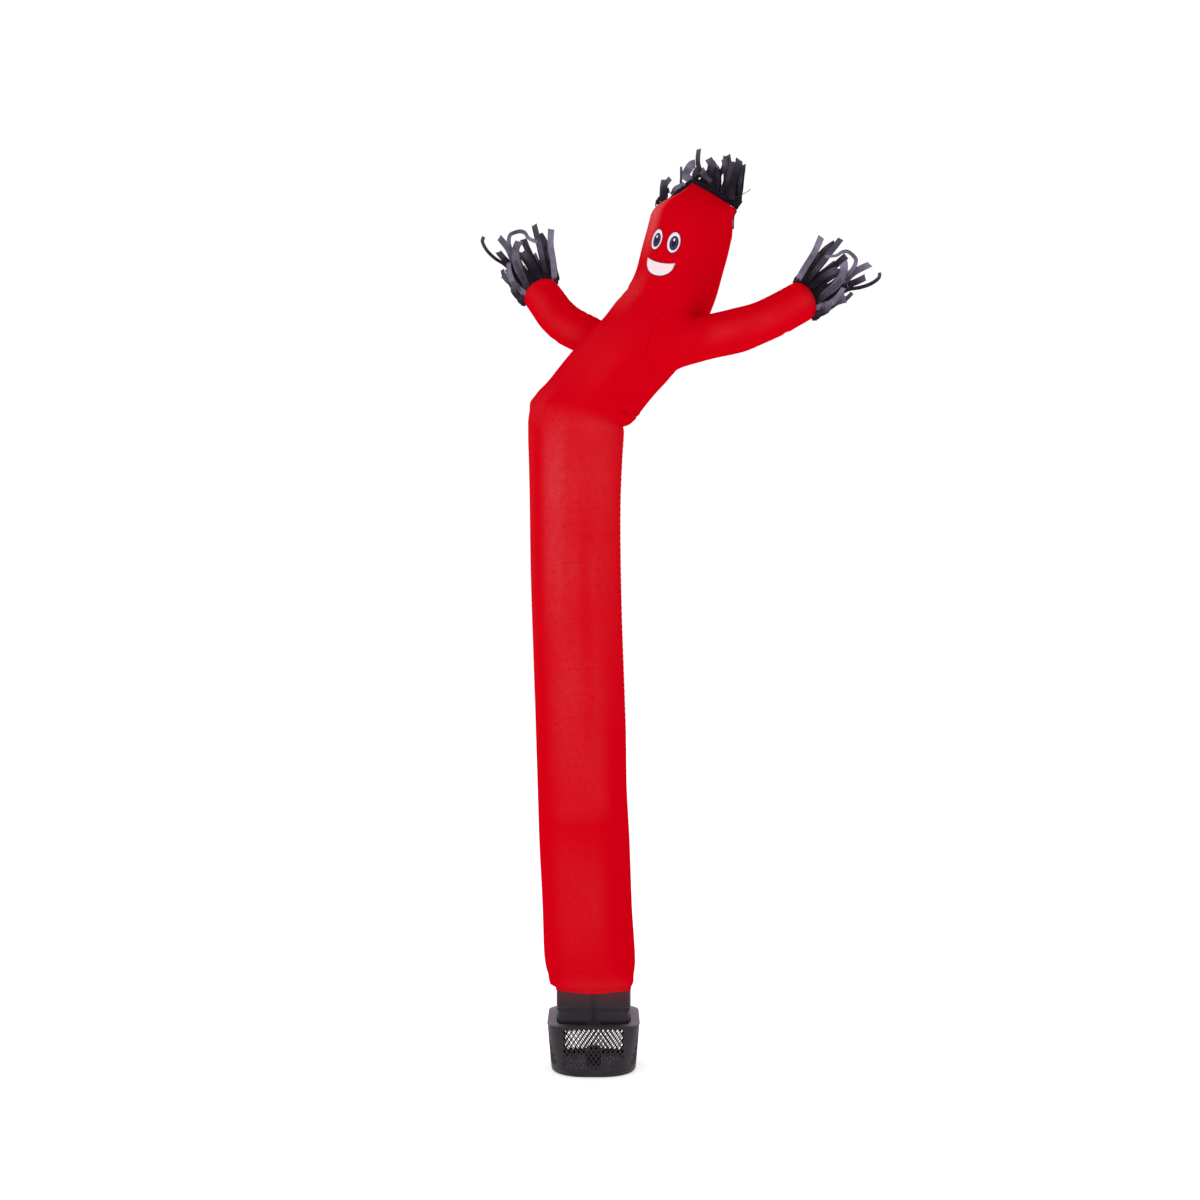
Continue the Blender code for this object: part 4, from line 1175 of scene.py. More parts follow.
HAND_RIBBONS = (
    # as for the hair, on the left hand; the right hand's are its mirror image
    (0.03, ((0.0820, 0.0250), (0.0976, 0.0717), (0.1076, 0.0962)), 0.012, 0.012, 30, 0.05),
    (0.10, ((0.0800, 0.0420), (0.1020, 0.0844), (0.1300, 0.1437), (0.1637, 0.1928)), -0.020, 0.022, 8, 0.85),
    (0.16, ((0.0720, 0.0560), (0.0920, 0.1064), (0.1150, 0.1733), (0.1200, 0.2242)), 0.006, 0.029, 6, 0.05),
    (0.27, ((0.0600, 0.0750), (0.0766, 0.1212), (0.1005, 0.1883), (0.1246, 0.2558)),
     -0.014, 0.021, -10, 0.22),
    (0.38, ((0.0360, 0.0800), (0.0446, 0.1307), (0.0547, 0.1924), (0.0645, 0.2424)), 0.006, 0.024, 6, 0.06),
    (0.53, ((-0.0020, 0.0850), (-0.0080, 0.1128), (-0.0010, 0.1624), (0.0010, 0.1919)),
     -0.006, 0.026, -6, 0.08),
    (0.63, ((-0.0200, 0.0950), (-0.0115, 0.1514), (0.0072, 0.1937), (0.0270, 0.2148), (0.0463, 0.2240)),
     -0.020, 0.028, 16, 0.50),
    (0.71, ((-0.0310, 0.0950), (-0.0180, 0.1650), (-0.0008, 0.2374), (-0.0025, 0.3093)),
     0.014, 0.023, -10, 0.65),
    (0.66, ((-0.0230, 0.1000), (-0.0010, 0.1974), (0.0100, 0.2440), (0.0300, 0.2700), (0.0500, 0.2690),
            (0.0715, 0.2580), (0.0800, 0.2385), (0.0791, 0.2097), (0.0944, 0.1726)), -0.036, 0.015, 40, 0.60),
    (0.78, ((-0.0440, 0.1000), (-0.0303, 0.1829), (-0.0335, 0.2349), (-0.0340, 0.2684)),
     0.020, 0.022, 6, 0.05),
    (0.84, ((-0.0520, 0.0900), (-0.0444, 0.1370), (-0.0423, 0.1803), (-0.0590, 0.2328), (-0.0664, 0.2780),
            (-0.0625, 0.3164), (-0.0478, 0.3295)), -0.010, 0.013, 24, 0.08),
    (0.90, ((-0.0610, 0.0640), (-0.0563, 0.1059), (-0.0490, 0.1407), (-0.0337, 0.1774)),
     -0.024, 0.017, 8, 0.75),
    (0.93, ((-0.0640, 0.0700), (-0.0607, 0.0931), (-0.0708, 0.1501), (-0.0597, 0.1943)),
     0.022, 0.015, -20, 0.14),
    (0.965, ((-0.0690, 0.0300), (-0.0735, 0.0560), (-0.0700, 0.0830), (-0.0480, 0.0980)),
     -0.014, 0.022, 10, 0.25),
    (0.50, ((0.0102, 0.0692), (0.0243, 0.1217), (0.0276, 0.1762), (0.0162, 0.2069)), 0.010, 0.026, -6, 0.14),
    (0.30, ((0.0461, 0.0404), (0.0702, 0.0990), (0.0856, 0.1436), (0.0963, 0.1708)), -0.004, 0.026, 8, 0.04),
    (0.20, ((0.0592, 0.0229), (0.0803, 0.0766), (0.0997, 0.1178), (0.1293, 0.1512)), 0.002, 0.024, -8, 0.04),
    (0.66, ((-0.0243, 0.0616), (-0.0172, 0.1125), (-0.0239, 0.1606), (-0.0215, 0.1943)),
     0.008, 0.030, 10, 0.30),
    (0.80, ((-0.0479, 0.0523), (-0.0564, 0.0873), (-0.0569, 0.1160), (-0.0459, 0.1640)),
     -0.012, 0.022, -6, 0.55),
    (0.92, ((-0.0703, 0.0351), (-0.0662, 0.0810), (-0.0621, 0.1272), (-0.0707, 0.1626)),
     0.006, 0.026, 8, 0.16),
    (0.95, ((-0.0640, 0.0240), (-0.0690, 0.0480), (-0.0700, 0.0740)), 0.000, 0.024, 6, 0.18),
    (0.42, ((0.0262, 0.0564), (0.0345, 0.0993), (0.0389, 0.1456), (0.0363, 0.1906)), -0.008, 0.024, 6, 0.06),
)
BACK_RIBBONS = (
    # root along the seam, course, depth at the tip, width, twist, tone: the hands' second row, behind
    (0.20, ((0.0680, 0.0600), (0.0860, 0.1150), (0.1050, 0.1650)), 0.034, 0.022, 10, 0.12),
    (0.34, ((0.0450, 0.0800), (0.0560, 0.1350), (0.0660, 0.1900)), 0.040, 0.022, -12, 0.30),
    (0.50, ((0.0020, 0.0850), (0.0010, 0.1250), (0.0030, 0.1700)), 0.044, 0.024, 8, 0.10),
    (0.68, ((-0.0280, 0.0900), (-0.0180, 0.1450), (-0.0060, 0.2000)), 0.046, 0.022, -8, 0.35),
    (0.82, ((-0.0480, 0.0850), (-0.0380, 0.1500), (-0.0400, 0.2000)), 0.042, 0.018, 12, 0.15),
)
FRINGES = {
    # CAD node: ribbons, backing strip's start and end along the seam, its height there, scale across, along
    "hair_fringe": (HAIR_RIBBONS, (0.005, 0.90), (0.032, 0.008), (1.0, 1.0)),
    "hand_fringe_left": (HAND_RIBBONS + BACK_RIBBONS, (0.06, 0.94), (0.003, 0.003), (1.0, 1.0)),
    "hand_fringe_right": (HAND_RIBBONS + BACK_RIBBONS, (0.06, 0.94), (0.003, 0.003), (-0.9, 0.8)),
}
STRIP_DEPTH = 0.0022
STRIP_STEPS = 60
STRIP_SEAT = 0.0007  # off the seam
# painted light through the doubled backing strip and the piping: nearly none
STRIP_TONE, PIPING_TONE = 0.06, 0.03
PIPING_TURNS = (84, 20)  # degrees up the head's closed end where its near edge's piping starts and ends
PIPING_ROUND = (-8, 20)  # degrees round the head there
PIPING_OUT = (0.0005, 0.0046)
PIPING_DEPTH = 0.0012
PIPING_STEPS = 14


def add_ribbon(build, layers, section, course, depths, width, twist, tone, seed):
    """A thin cupped ribbon along a course of (across, along) points, from its root's depth to its tip's."""
    uv_layer, tone_layer = layers
    length = path_keys(course)[-1]
    count = max(6, ceil(length / RIBBON_STEP))
    points = []
    for k in range(count + 1):
        share = k / count
        flat = path_point(course, share)
        sway = RIBBON_SWAY * ripple(seed * 7.3, share * 2.6, 1.7) * min(1.0, 3 * share)
        depth = depths[0] + (depths[1] - depths[0]) * share**1.5 + sway
        points.append(section.place(flat.x, depth, flat.y))
    rings, spots = [], {}
    for k, point in enumerate(points):
        share = k / count
        run = (points[min(k + 1, count)] - points[max(k - 1, 0)]).normalized()
        side = section.depth.cross(run).normalized()
        curl = RIBBON_CURL * ripple(seed * 3.1, share * 3.0, 9.2) * share
        turn = radians(twist) * share + curl
        side = Matrix.Rotation(turn, 3, run) @ side
        face = run.cross(side).normalized()
        half = width / 2 * (1 + 0.10 * ripple(seed, share * 6, 4.4))
        half *= ROOT_WIDTH + (1 - ROOT_WIDTH) * rise(share, 0.0, 0.4)
        slant = run * (0.25 * width * ripple(seed * 2.2, 5.1, 0)) if k == count else Vector()
        ring = []
        for out, way in ((RIBBON / 2, 1), (-RIBBON / 2, -1)):
            for j in (-2, -1, 0, 1, 2):
                across = way * j / 2
                cup = RIBBON_CUP * width * (1 - across**2) * min(1.0, 0.3 + share)
                ring.append(point + side * (across * half) + face * (cup + out) + slant * across * 2)
        rings.append(ring)
    rows = solid_rings(build, rings)
    for k, row in enumerate(rows):
        for i, vert in enumerate(row):
            across = (i % 5 - 2) / 4 * width * (1 if i < 5 else -1)
            spots[vert] = (across, length * k / count)
            # painted light through the ribbon: less at its gathered root, patchy on the way, more toward its
            # tip
            share = k / count
            fade = max(0.0, share - TIP_FADE[0]) * TIP_FADE[1]
            patches = 1 + TONE_PATCHES * ripple(seed * 1.7, share * 4, 6.1)
            vert[tone_layer] = min(1.0, tone * patches * (0.35 + 0.65 * min(1.0, share * 2.5)) + fade)
    for row in rows:
        for vert in row:
            for loop in vert.link_loops:
                loop[uv_layer].uv = spots[vert]


def seam_way(section, seam, share):
    """A seam's point and its outward direction there, in the section's plane."""
    step = 0.004
    run = seam(section, min(share + step, 1.0)) - seam(section, max(share - step, 0.0))
    return seam(section, share), Vector((run.y, -run.x)).normalized()


def add_strip(build, layers, section, seam, reach, heights):
    """The narrow doubled backing that the ribbons are sewn between."""
    uv_layer, tone_layer = layers
    rings = []
    for k in range(STRIP_STEPS + 1):
        along = k / STRIP_STEPS
        point, outward = seam_way(section, seam, reach[0] + (reach[1] - reach[0]) * along)
        height = heights[0] + (heights[1] - heights[0]) * along
        foot = point + outward * STRIP_SEAT
        top = foot + outward * height * (1 + 0.12 * ripple(along * 18, 2, 2))
        middle = foot.lerp(top, 0.5)
        rings.append([
            section.place(foot.x, -STRIP_DEPTH, foot.y),
            section.place(middle.x, -STRIP_DEPTH * 1.15, middle.y),
            section.place(top.x, -STRIP_DEPTH, top.y),
            section.place(top.x, STRIP_DEPTH, top.y),
            section.place(middle.x, STRIP_DEPTH * 1.15, middle.y),
            section.place(foot.x, STRIP_DEPTH, foot.y),
        ])
    rows = solid_rings(build, rings)
    for k, row in enumerate(rows):
        for i, vert in enumerate(row):
            vert[tone_layer] = STRIP_TONE
            for loop in vert.link_loops:
                loop[uv_layer].uv = (0.01 * i, 0.3 * k / STRIP_STEPS)


def add_piping(build, layers, section):
    """A narrow bound edge, from the hair's near end down the side of the head."""
    rings = []
    for k in range(PIPING_STEPS + 1):
        share = k / PIPING_STEPS
        quarter = radians(PIPING_TURNS[0] + (PIPING_TURNS[1] - PIPING_TURNS[0]) * share)
        angle = radians(PIPING_ROUND[0] + (PIPING_ROUND[1] - PIPING_ROUND[0]) * share)
        low, high = (end_point(section, head_seam, HEAD_CLOSING, quarter, angle, out) for out in PIPING_OUT)
        thick = section.depth * PIPING_DEPTH
        rings.append([low - thick, high - thick, high + thick, low + thick])
    for row in solid_rings(build, rings):
        for vert in row:
            vert[layers[1]] = PIPING_TONE


def build_fringe(section, seam, ribbons, reach, heights, scale):
    build = bmesh.new()
    layers = build.loops.layers.uv.new("cloth"), build.verts.layers.float.new("tone")
    add_strip(build, layers, section, seam, reach, heights)
    for number, (root, course, depth, width, twist, tone) in enumerate(ribbons):
        share = root if scale[0] > 0 else 1 - root
        start, outward = seam_way(section, seam, share)
        way = Vector((outward.x * ROOT_LEAN.x, outward.y + ROOT_LEAN.y)).normalized()
        points = [start + outward * 0.001, start + way * (heights[1] + 0.010)]
        points += [Vector((a * scale[0], b * scale[1])) for a, b in course]
        root_depth = STRIP_DEPTH * (-0.4 if depth < 0 else 0.4)
        depths = root_depth, depth
        add_ribbon(build, layers, section, points, depths, width * scale[1] ** 0.3, twist, tone, number + 1.5)
    return build, layers


# ---------------------------------------------------------------- the printed face

FACE_MIDDLE = -91.0  # angle round the head
FACE_RADIUS = 0.15  # the head's, at the mouth
EYE_OFF = 13.4  # degrees from the face's middle to an eye's
EYE_HEIGHT = 2.7475  # of the section behind the eyes
EYE = (0.0265, 0.0385)  # half width and half height
EYE_LAYERS = (
    # name, share of the eye's size, shift to the side and up as shares of it, ink, how far it stands off
    ("outline", 1.0, 0.0, 0.0, "dark", 0.0004),
    ("white", 0.91, 0.0, 0.0, "white", 0.0007),
    ("iris_rim", 0.64, 0.10, -0.06, "dark", 0.0010),
    ("iris", 0.56, 0.10, -0.06, "blue", 0.0013),
    ("pupil", 0.34, 0.10, -0.04, "dark", 0.0016),
    ("glint", 0.13, 0.02, 0.22, "white", 0.0019),
)
SMILE_HALF = 22.5  # degrees from the middle to a corner
SMILE_HEIGHT = 2.6842
SMILE_DROP = 0.058
SMILE_LIP = 0.012  # how far the upper edge hangs
SMILE_LAYERS = (
    # name, how much larger, ink, how far it stands off
    ("outline", 0.0022, "dark", 0.0004),
    ("fill", 0.0, "white", 0.0007),
)
INKS = {"dark": (0.012, 0.008, 0.016), "white": (0.80, 0.64, 0.69), "blue": (0.035, 0.03, 0.13)}
EYE_STEPS, SMILE_STEPS = 40, 24
PRINT_THICKNESS = 0.0003


def add_patch(build, body, outline, middle, out, rings=5):
    """A thin closed patch on the cloth, from (place, angle) points round its middle."""
    tops, unders = [], []
    for layer, rows in ((out, tops), (out - PRINT_THICKNESS, unders)):
        centre = body.surface(*middle) + body.outward(*middle) * layer
        rows.append(build.verts.new(centre))
        for ring in range(1, rings + 1):
            share = ring / rings
            row = []
            for place, angle in outline:
                spot = middle[0] + (place - middle[0]) * share, middle[1] + (angle - middle[1]) * share
                row.append(build.verts.new(body.surface(*spot) + body.outward(*spot) * layer))
            rows.append(row)
    count = len(outline)
    for rows in (tops, unders):
        for i in range(count):
            build.faces.new((rows[0], rows[1][i], rows[1][(i + 1) % count]))
        join_rings(build, rows[1:])
    ring_faces(build, tops[-1], unders[-1])


def eye_outline(body, side, share, shift):
    """Points round an oval of the eye, with its middle."""
    middle_place = body.tube.place_at(EYE_HEIGHT)
    radius = body.tube.section(middle_place).half_depth
    middle = (
        middle_place + EYE[1] * shift[1],
        radians(FACE_MIDDLE + side * EYE_OFF) + EYE[0] * shift[0] / radius,
    )
    points = []
    for i in range(EYE_STEPS):
        turn = tau * i / EYE_STEPS
        points.append((
            middle[0] + EYE[1] * share * sin(turn),
            middle[1] + EYE[0] * share * cos(turn) / radius,
        ))
    return points, middle


def smile_outline(body, grow):
    """Points round an open smile, from corner to corner and back along its upper edge."""
    base = body.tube.place_at(SMILE_HEIGHT)
    points = []
    half, steps = radians(SMILE_HALF) + grow / FACE_RADIUS, SMILE_STEPS
    for i in range(steps + 1):
        x = -1 + 2 * i / steps
        points.append((base - (SMILE_DROP + grow) * sqrt(max(0.0, 1 - x**2)) - grow * 0.2, x * half))
    for i in range(1, steps):
        x = 1 - 2 * i / steps
        points.append((base - (SMILE_LIP - grow) * (1 - x**2), x * half))
    middle = (base - (SMILE_DROP + SMILE_LIP) / 2, radians(FACE_MIDDLE))
    return [(place, radians(FACE_MIDDLE) + turn) for place, turn in points], middle


# ---------------------------------------------------------------- blower

PAN_HALF, PAN_CORNER = 0.1425, 0.115
PAN_EDGE = 0.010  # rounding under the pan's rim
PAN_STEPS, PAN_ARC = 6, 20  # points up that rounding, and round a corner
PAN_TOP = (
    # out from the pan's half width, down from its top: over the rim and across the pressed floor
    (0.0, 0.0008),
    (-0.0008, 0.0),
    (-0.0060, 0.0),
    (-0.0075, 0.0012),
    (-0.0300, 0.0012),
    (-0.0310, 0.0004),
    (-0.0350, 0.0004),
    (-0.0360, 0.0012),
)
RIM_HALF, RIM_CORNER = 0.1530, 0.060
WALL = 0.003
LIP = 0.0015  # how far the guard's rim stands out
DECK_HALF, DECK_CORNER = 0.1237, 0.055  # the round-cornered opening in the guard's top
DECK_EDGE = 0.0007  # rounding of that opening's edges
HALF_PITCH = (0.008, 0.0112)  # half a diamond of the guard's mesh, across and up
HALF_COLUMNS, HALF_ROWS = 13, 13  # half diamonds from the middle to the window's side, and up the window
WINDOW_FOOT = 0.0195
FOOT_BEVEL, RIM_BEVEL = 0.0006, 0.0008
RIM_START = 0.0009  # over the window
RIM_LEDGE = ((0.0, -0.0015), (0.0006, -0.0004), (0.0012, 0.0))  # up from there, and short of the lip
STRAND = 0.0033
STRAND_CROWN = 0.0006
BAND_COLUMNS = 8
COLLAR_CORNER = 0.015
COLLAR_FACE = 0.1225  # half width outside
COLLAR_INSIDE, COLLAR_FOOT = 0.1195, 0.2  # half widths of the inside are up to this, above the foot
COLLAR_PROFILE = (
    # half width, height: the outside from the spigot up over the rim, then the inside down again
    (0.1092, 0.1560),
    (0.1100, 0.1568),
    (0.1100, 0.1730),
    (0.1184, 0.1730),
    (0.1190, 0.1736),
    (0.1190, 0.2050),
    (0.1203, 0.2058),
    (0.1203, 0.2070),
    (0.1190, 0.2078),
    (0.1200, 0.2170),
    (0.1219, 0.2176),
    (0.1225, 0.2184),
    (0.1225, 0.2250),
    (0.1232, 0.2256),
    (0.1232, 0.2274),
    (0.1225, 0.2280),
    (0.1225, 0.3112),
    (0.1217, 0.3120),
    (0.1203, 0.3120),
    (0.1195, 0.3112),
    (0.1160, 0.1768),
    (0.1078, 0.1760),
    (0.1070, 0.1752),
    (0.1070, 0.1560),
)
RIB = (0.0045, 0.003, 0.272)  # width, height and top of the ribs on the collar's faces
RIB_SPACING = 0.012
RIB_ROOT, RIB_EDGE, RIB_CORNER = 0.1183, 0.0006, 0.0008  # where it starts in the wall, and its bevels
RIB_CLEAR = 0.003  # above a bracket's plate
SHADED = ((0.1760, 0.0090), (0.2135, 0.0016), (0.2225, 0.0022))  # the collar's shaded lines: height, reach
BRACKETS = (
    # name, quarter turns from the front, height of its upright plate
    ("front", 0, 0.181),
    ("right", 1, 0.202),
    ("back", 2, 0.181),
    ("left", 3, 0.202),
)
BRACKET_WIDTH, BRACKET_DEPTH, BRACKET_PLATE = 0.045, 0.008, 0.0025
PLATE_SEAT, SHELF_START = 0.1200, 0.110  # how far out the plate's inner side and the shelf's inner end are
LUG_EDGE = 0.0007
HARD_EDGE = 35  # degrees from which an edge of a hard piece stays sharp
COLLAR_BOTTOM = 0.1730
POD = (
    # radius, height
    (0.0285, 0.0118),
    (0.0290, 0.0123),
    (0.0290, 0.0140),
    (0.0262, 0.0146),
    (0.0260, 0.0152),
    (0.0260, 0.0300),
    (0.0254, 0.0304),
    (0.0254, 0.0316),
    (0.0260, 0.0320),
    (0.0260, 0.0420),
    (0.0254, 0.0424),
    (0.0254, 0.0436),
    (0.0260, 0.0440),
    (0.0260, 0.0560),
    (0.0254, 0.0606),
    (0.0236, 0.0650),
    (0.0200, 0.0688),
    (0.0150, 0.0708),
    (0.0080, 0.0717),
    (0.0050, 0.0718),
)
GLAND = (
    # distance out from the guard's wall, radius
    (-0.0090, 0.0080),
    (0.0000, 0.0080),
    (0.0003, 0.0116),
    (0.0010, 0.0120),
    (0.0024, 0.0120),
    (0.0030, 0.0114),
    (0.0036, 0.0088),
    (0.0050, 0.0080),
    (0.0075, 0.0076),
    (0.0082, 0.0070),
    (0.0100, 0.0068),
    (0.0107, 0.0072),
    (0.0130, 0.0068),
    (0.0137, 0.0060),
    (0.0158, 0.0058),
    (0.0164, 0.0050),
)
GLAND_HEIGHT = 0.060
POD_SIDES, GLAND_SIDES = 64, 32


def rounded_square(half, corner, arc_steps, flat_steps=1):
    """A square with round corners, from its +X side's lower corner round to the left."""
    flat = half - corner
    quarter = [Vector((half, flat * (2 * i / flat_steps - 1))) for i in range(flat_steps)]
    for i in range(arc_steps + 1):
        turn = pi / 2 * i / arc_steps
        quarter.append(Vector((flat + corner * cos(turn), flat + corner * sin(turn))))
    quarter.pop()
    return [Matrix.Rotation(pi / 2 * q, 2) @ point for q in range(4) for point in quarter]


def level(outline, height):
    return [Vector((point.x, point.y, height)) for point in outline]


class GuardWall:
    """The blower's mesh wall: its outline at any height, and its mesh."""

    def __init__(self):
        low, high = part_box("guard")
        self.foot, self.top = low.z, high.z

    def outline(self, height):
        share = (height - self.foot) / (self.top - self.foot)
        return PAN_HALF + (RIM_HALF - PAN_HALF) * share, PAN_CORNER + (RIM_CORNER - PAN_CORNER) * share

    def reach(self, height):
        """Distance from a face's middle to the diagonal, across the face."""
        half, corner = self.outline(height)
        return half - corner + corner * sin(pi / 4)

    def point(self, side, x, height, out):
        return self.spot(*self.outline(height), side, x, height, out)

    def deck_point(self, side, x, height, out):
        """A point on the top's opening, straight in from a place across the rim."""
        share = (DECK_HALF - DECK_CORNER + DECK_CORNER * sin(pi / 4)) / self.reach(self.top)
        return self.spot(DECK_HALF, DECK_CORNER, side, x * share, height, out)

    @staticmethod
    def spot(half, corner, side, x, height, out):
        flat = half - corner
        if abs(x) <= flat:
            spot = Vector((x, -half - out))
        else:
            turn = asin(min((abs(x) - flat) / corner, 1.0))
            spot = Vector((flat + (corner + out) * sin(turn), -flat - (corner + out) * cos(turn)))
            spot.x *= 1 if x > 0 else -1
        spot = Matrix.Rotation(pi / 2 * side, 2) @ spot
        return Vector((spot.x, spot.y, height))

    def rows(self):
        """Heights and how far the outside stands out: foot, window, then the rim."""
        window_top = WINDOW_FOOT + HALF_ROWS * HALF_PITCH[1]
        rows = [(self.foot, -FOOT_BEVEL), (self.foot + FOOT_BEVEL, 0.0)]
        rows += [(WINDOW_FOOT + k * HALF_PITCH[1], 0.0) for k in range(HALF_ROWS + 1)]
        rows += [(window_top + RIM_START + up, LIP + out) for up, out in RIM_LEDGE]
        return rows + [(self.top - RIM_BEVEL, LIP), (self.top, LIP - RIM_BEVEL)]

    def columns(self):
        """Each column as its side, its band (0 in the window, else the way to the corner) and its place."""
        columns = []
        for side in range(4):
            columns += [(side, -1, i / BAND_COLUMNS) for i in range(BAND_COLUMNS)]
            columns += [(side, 0, j * HALF_PITCH[0]) for j in range(-HALF_COLUMNS, HALF_COLUMNS + 1)]
            columns += [(side, 1, 1 - i / BAND_COLUMNS) for i in range(1, BAND_COLUMNS)]
        return columns

    def build(self):
        build = bmesh.new()
        rows = self.rows()
        columns, window = self.columns(), HALF_COLUMNS * HALF_PITCH[0]
        per_side = len(columns) // 4
        first = 2  # the row at the window's foot
        known = {}

        def across(column, height):
            _, band, place = columns[column]
            if band == 0:
                return place
            return band * (window + (self.reach(height) - window) * (1 - place))

        def vertex(layer, column, row, corner=None):
            """A vertex of a layer on the grid, or at a corner of the hole round that spot."""
            column %= len(columns)
            key = layer, column, row, corner
            if key not in known:
                height, out = rows[row]
                x = across(column, height)
                if corner is not None:
                    wide, high = HALF_PITCH
                    slant = wide * high / sqrt(wide**2 + high**2)
                    share = 1 - STRAND / 2 / slant
                    x += (wide * share, 0, -wide * share, 0)[corner]
                    height += (0, high * share, 0, -high * share)[corner]
                elif first < row < first + HALF_ROWS and columns[column][1] == 0 and abs(x) < window - 1e-6:
                    out += STRAND_CROWN
                side = columns[column][0]
                if layer == "inner" and row == len(rows) - 1:
                    place = self.deck_point(side, x, self.top - WALL, DECK_EDGE)
                elif layer == "inner":
                    place = self.point(side, x, min(height, self.top - WALL), -WALL)
                elif layer == "outer":
                    place = self.point(side, x, height, out)
                else:
                    place = self.deck_point(side, x, *layer)
                known[key] = build.verts.new(place)
            return known[key]

        def cell(column, row):
            """The diamond round a grid spot, with its hole, or what of it is inside the window."""
            offset = (column % per_side) - BAND_COLUMNS - HALF_COLUMNS
            inside = abs(offset) < HALF_COLUMNS and first < row < first + HALF_ROWS
            steps = ((1, 0), (0, 1), (-1, 0), (0, -1))
            if inside:
                for layer in ("outer", "inner"):
                    corners = [vertex(layer, column + a, row + b) for a, b in steps]
                    holes = [vertex(layer, column, row, corner) for corner in range(4)]
                    for i in range(4):
                        j = (i + 1) % 4
                        build.faces.new((corners[i], corners[j], holes[j], holes[i]))
                ring_faces(
                    build,
                    [vertex("outer", column, row, corner) for corner in range(4)],
                    [vertex("inner", column, row, corner) for corner in range(4)],
                )
                return
            present = [
                (a, b) for a, b in steps
                if abs(offset + a) <= HALF_COLUMNS and first <= row + b <= first + HALF_ROWS
            ]
            for layer in ("outer", "inner"):
                centre = vertex(layer, column, row)
                near = {step: vertex(layer, column + step[0], row + step[1]) for step in present}
                for i in range(4):
                    start, end = steps[i], steps[(i + 1) % 4]
                    if start in near and end in near:
                        build.faces.new((centre, near[start], near[end]))

        for column in range(len(columns)):
            offset = (column % per_side) - BAND_COLUMNS - HALF_COLUMNS
            for row in range(len(rows) - 1):
                in_window = -HALF_COLUMNS <= offset < HALF_COLUMNS and first <= row < first + HALF_ROWS
                if not in_window:
                    for layer in ("outer", "inner"):
                        build.faces.new((
                            vertex(layer, column, row),
                            vertex(layer, column + 1, row),
                            vertex(layer, column + 1, row + 1),
                            vertex(layer, column, row + 1),
                        ))
            if abs(offset) <= HALF_COLUMNS:
                for row in range(first, first + HALF_ROWS + 1):
                    if (offset + row) % 2 == 0:
                        cell(column, row)
        last = len(rows) - 1
        under = self.top - WALL
        deck = ((self.top, DECK_EDGE), (self.top - DECK_EDGE, 0.0), (under + DECK_EDGE, 0.0))
        bands = [("outer", "inner", 0)]
        bands += [(a, b, last) for a, b in zip(("outer", *deck), (*deck, "inner"))]
        for outer, inner, row in bands:
            for column in range(len(columns)):
                build.faces.new((
                    vertex(outer, column, row),
                    vertex(outer, column + 1, row),
                    vertex(inner, column + 1, row),
                    vertex(inner, column, row),
                ))
        return build


def build_pan(height):
    """The floor pan: a rounded underside, a low rim and a shallow pressed floor."""
    profile = [(-PAN_EDGE, 0.0)]
    for i in range(1, PAN_STEPS + 1):
        turn = pi / 2 * i / PAN_STEPS
        profile.append((-PAN_EDGE * (1 - sin(turn)), PAN_EDGE * (1 - cos(turn))))
    profile += [(out, height - down) for out, down in PAN_TOP]
    build = bmesh.new()
    outlines = [(rounded_square(PAN_HALF + out, PAN_CORNER + out, PAN_ARC), z) for out, z in profile]
    solid_rings(build, [level(outline, z) for outline, z in outlines])
    return build


def build_collar():
    build = bmesh.new()
    rings = []
    for half, height in COLLAR_PROFILE:
        corner = COLLAR_CORNER if half > COLLAR_INSIDE or height < COLLAR_FOOT else COLLAR_CORNER - WALL
        rings.append(level(rounded_square(half, min(corner, half), 8, 4), height))
    solid_rings(build, rings, closed=True)
    width, height, top = RIB
    for _, quarters, plate_top in BRACKETS:
        for side in (-1, 1):
            foot = plate_top + RIB_CLEAR
            middle = side * RIB_SPACING / 2
            rings = []
            for z in (foot, foot + RIB_EDGE, top - RIB_EDGE, top):
                grow = 0.0 if z in (foot, top) else RIB_EDGE
                out = -COLLAR_FACE - height + RIB_EDGE - grow
                near = width / 2 - RIB_EDGE + grow
                half_ring = [(-near, -RIB_ROOT), (-near, out + RIB_EDGE), (-near + RIB_CORNER, out)]
                ring = half_ring + [(-x, y) for x, y in reversed(half_ring)]
                turn = Matrix.Rotation(pi / 2 * quarters, 3, "Z")
                rings.append([turn @ Vector((middle + x, y, z)) for x, y in ring])
            solid_rings(build, rings)
    return build


def build_bracket(quarters, plate_top):
    """A lug from the guard's deck in under the collar, with a plate up the collar's outside."""
    shelf = COLLAR_BOTTOM - GAP
    outer = DECK_HALF - GAP
    plate = PLATE_SEAT + GAP
    inner = SHELF_START + GAP
    profile = (
        (inner, shelf - BRACKET_DEPTH),
        (outer, shelf - BRACKET_DEPTH),
        (outer, shelf),
        (plate + BRACKET_PLATE, shelf),
        (plate + BRACKET_PLATE, plate_top),
        (plate, plate_top),
        (plate, shelf),
        (inner, shelf),
    )
    build = bmesh.new()
    turn = Matrix.Rotation(pi / 2 * quarters, 3, "Z")
    sides = -BRACKET_WIDTH / 2, BRACKET_WIDTH / 2
    solid_rings(build, [[turn @ Vector((x, -out, up)) for out, up in profile] for x in sides])
    return build


def build_turned(profile, sides, place):
    """A turned piece: place gives the point at a radius, an angle and a distance along."""
    build = bmesh.new()
    turns = [tau * i / sides for i in range(sides)]
    solid_rings(build, [[place(radius, turn, along) for turn in turns] for radius, along in profile])
    return build


# ---------------------------------------------------------------- steps


def colour_setting(name, description, default):
    return bpy.props.FloatVectorProperty(
        name=name, description=description, subtype="COLOR", default=default, min=0.0, max=1.0)


def power_setting(name, description, default):
    return bpy.props.FloatProperty(name=name, description=description, default=default, min=0.0, unit="POWER")


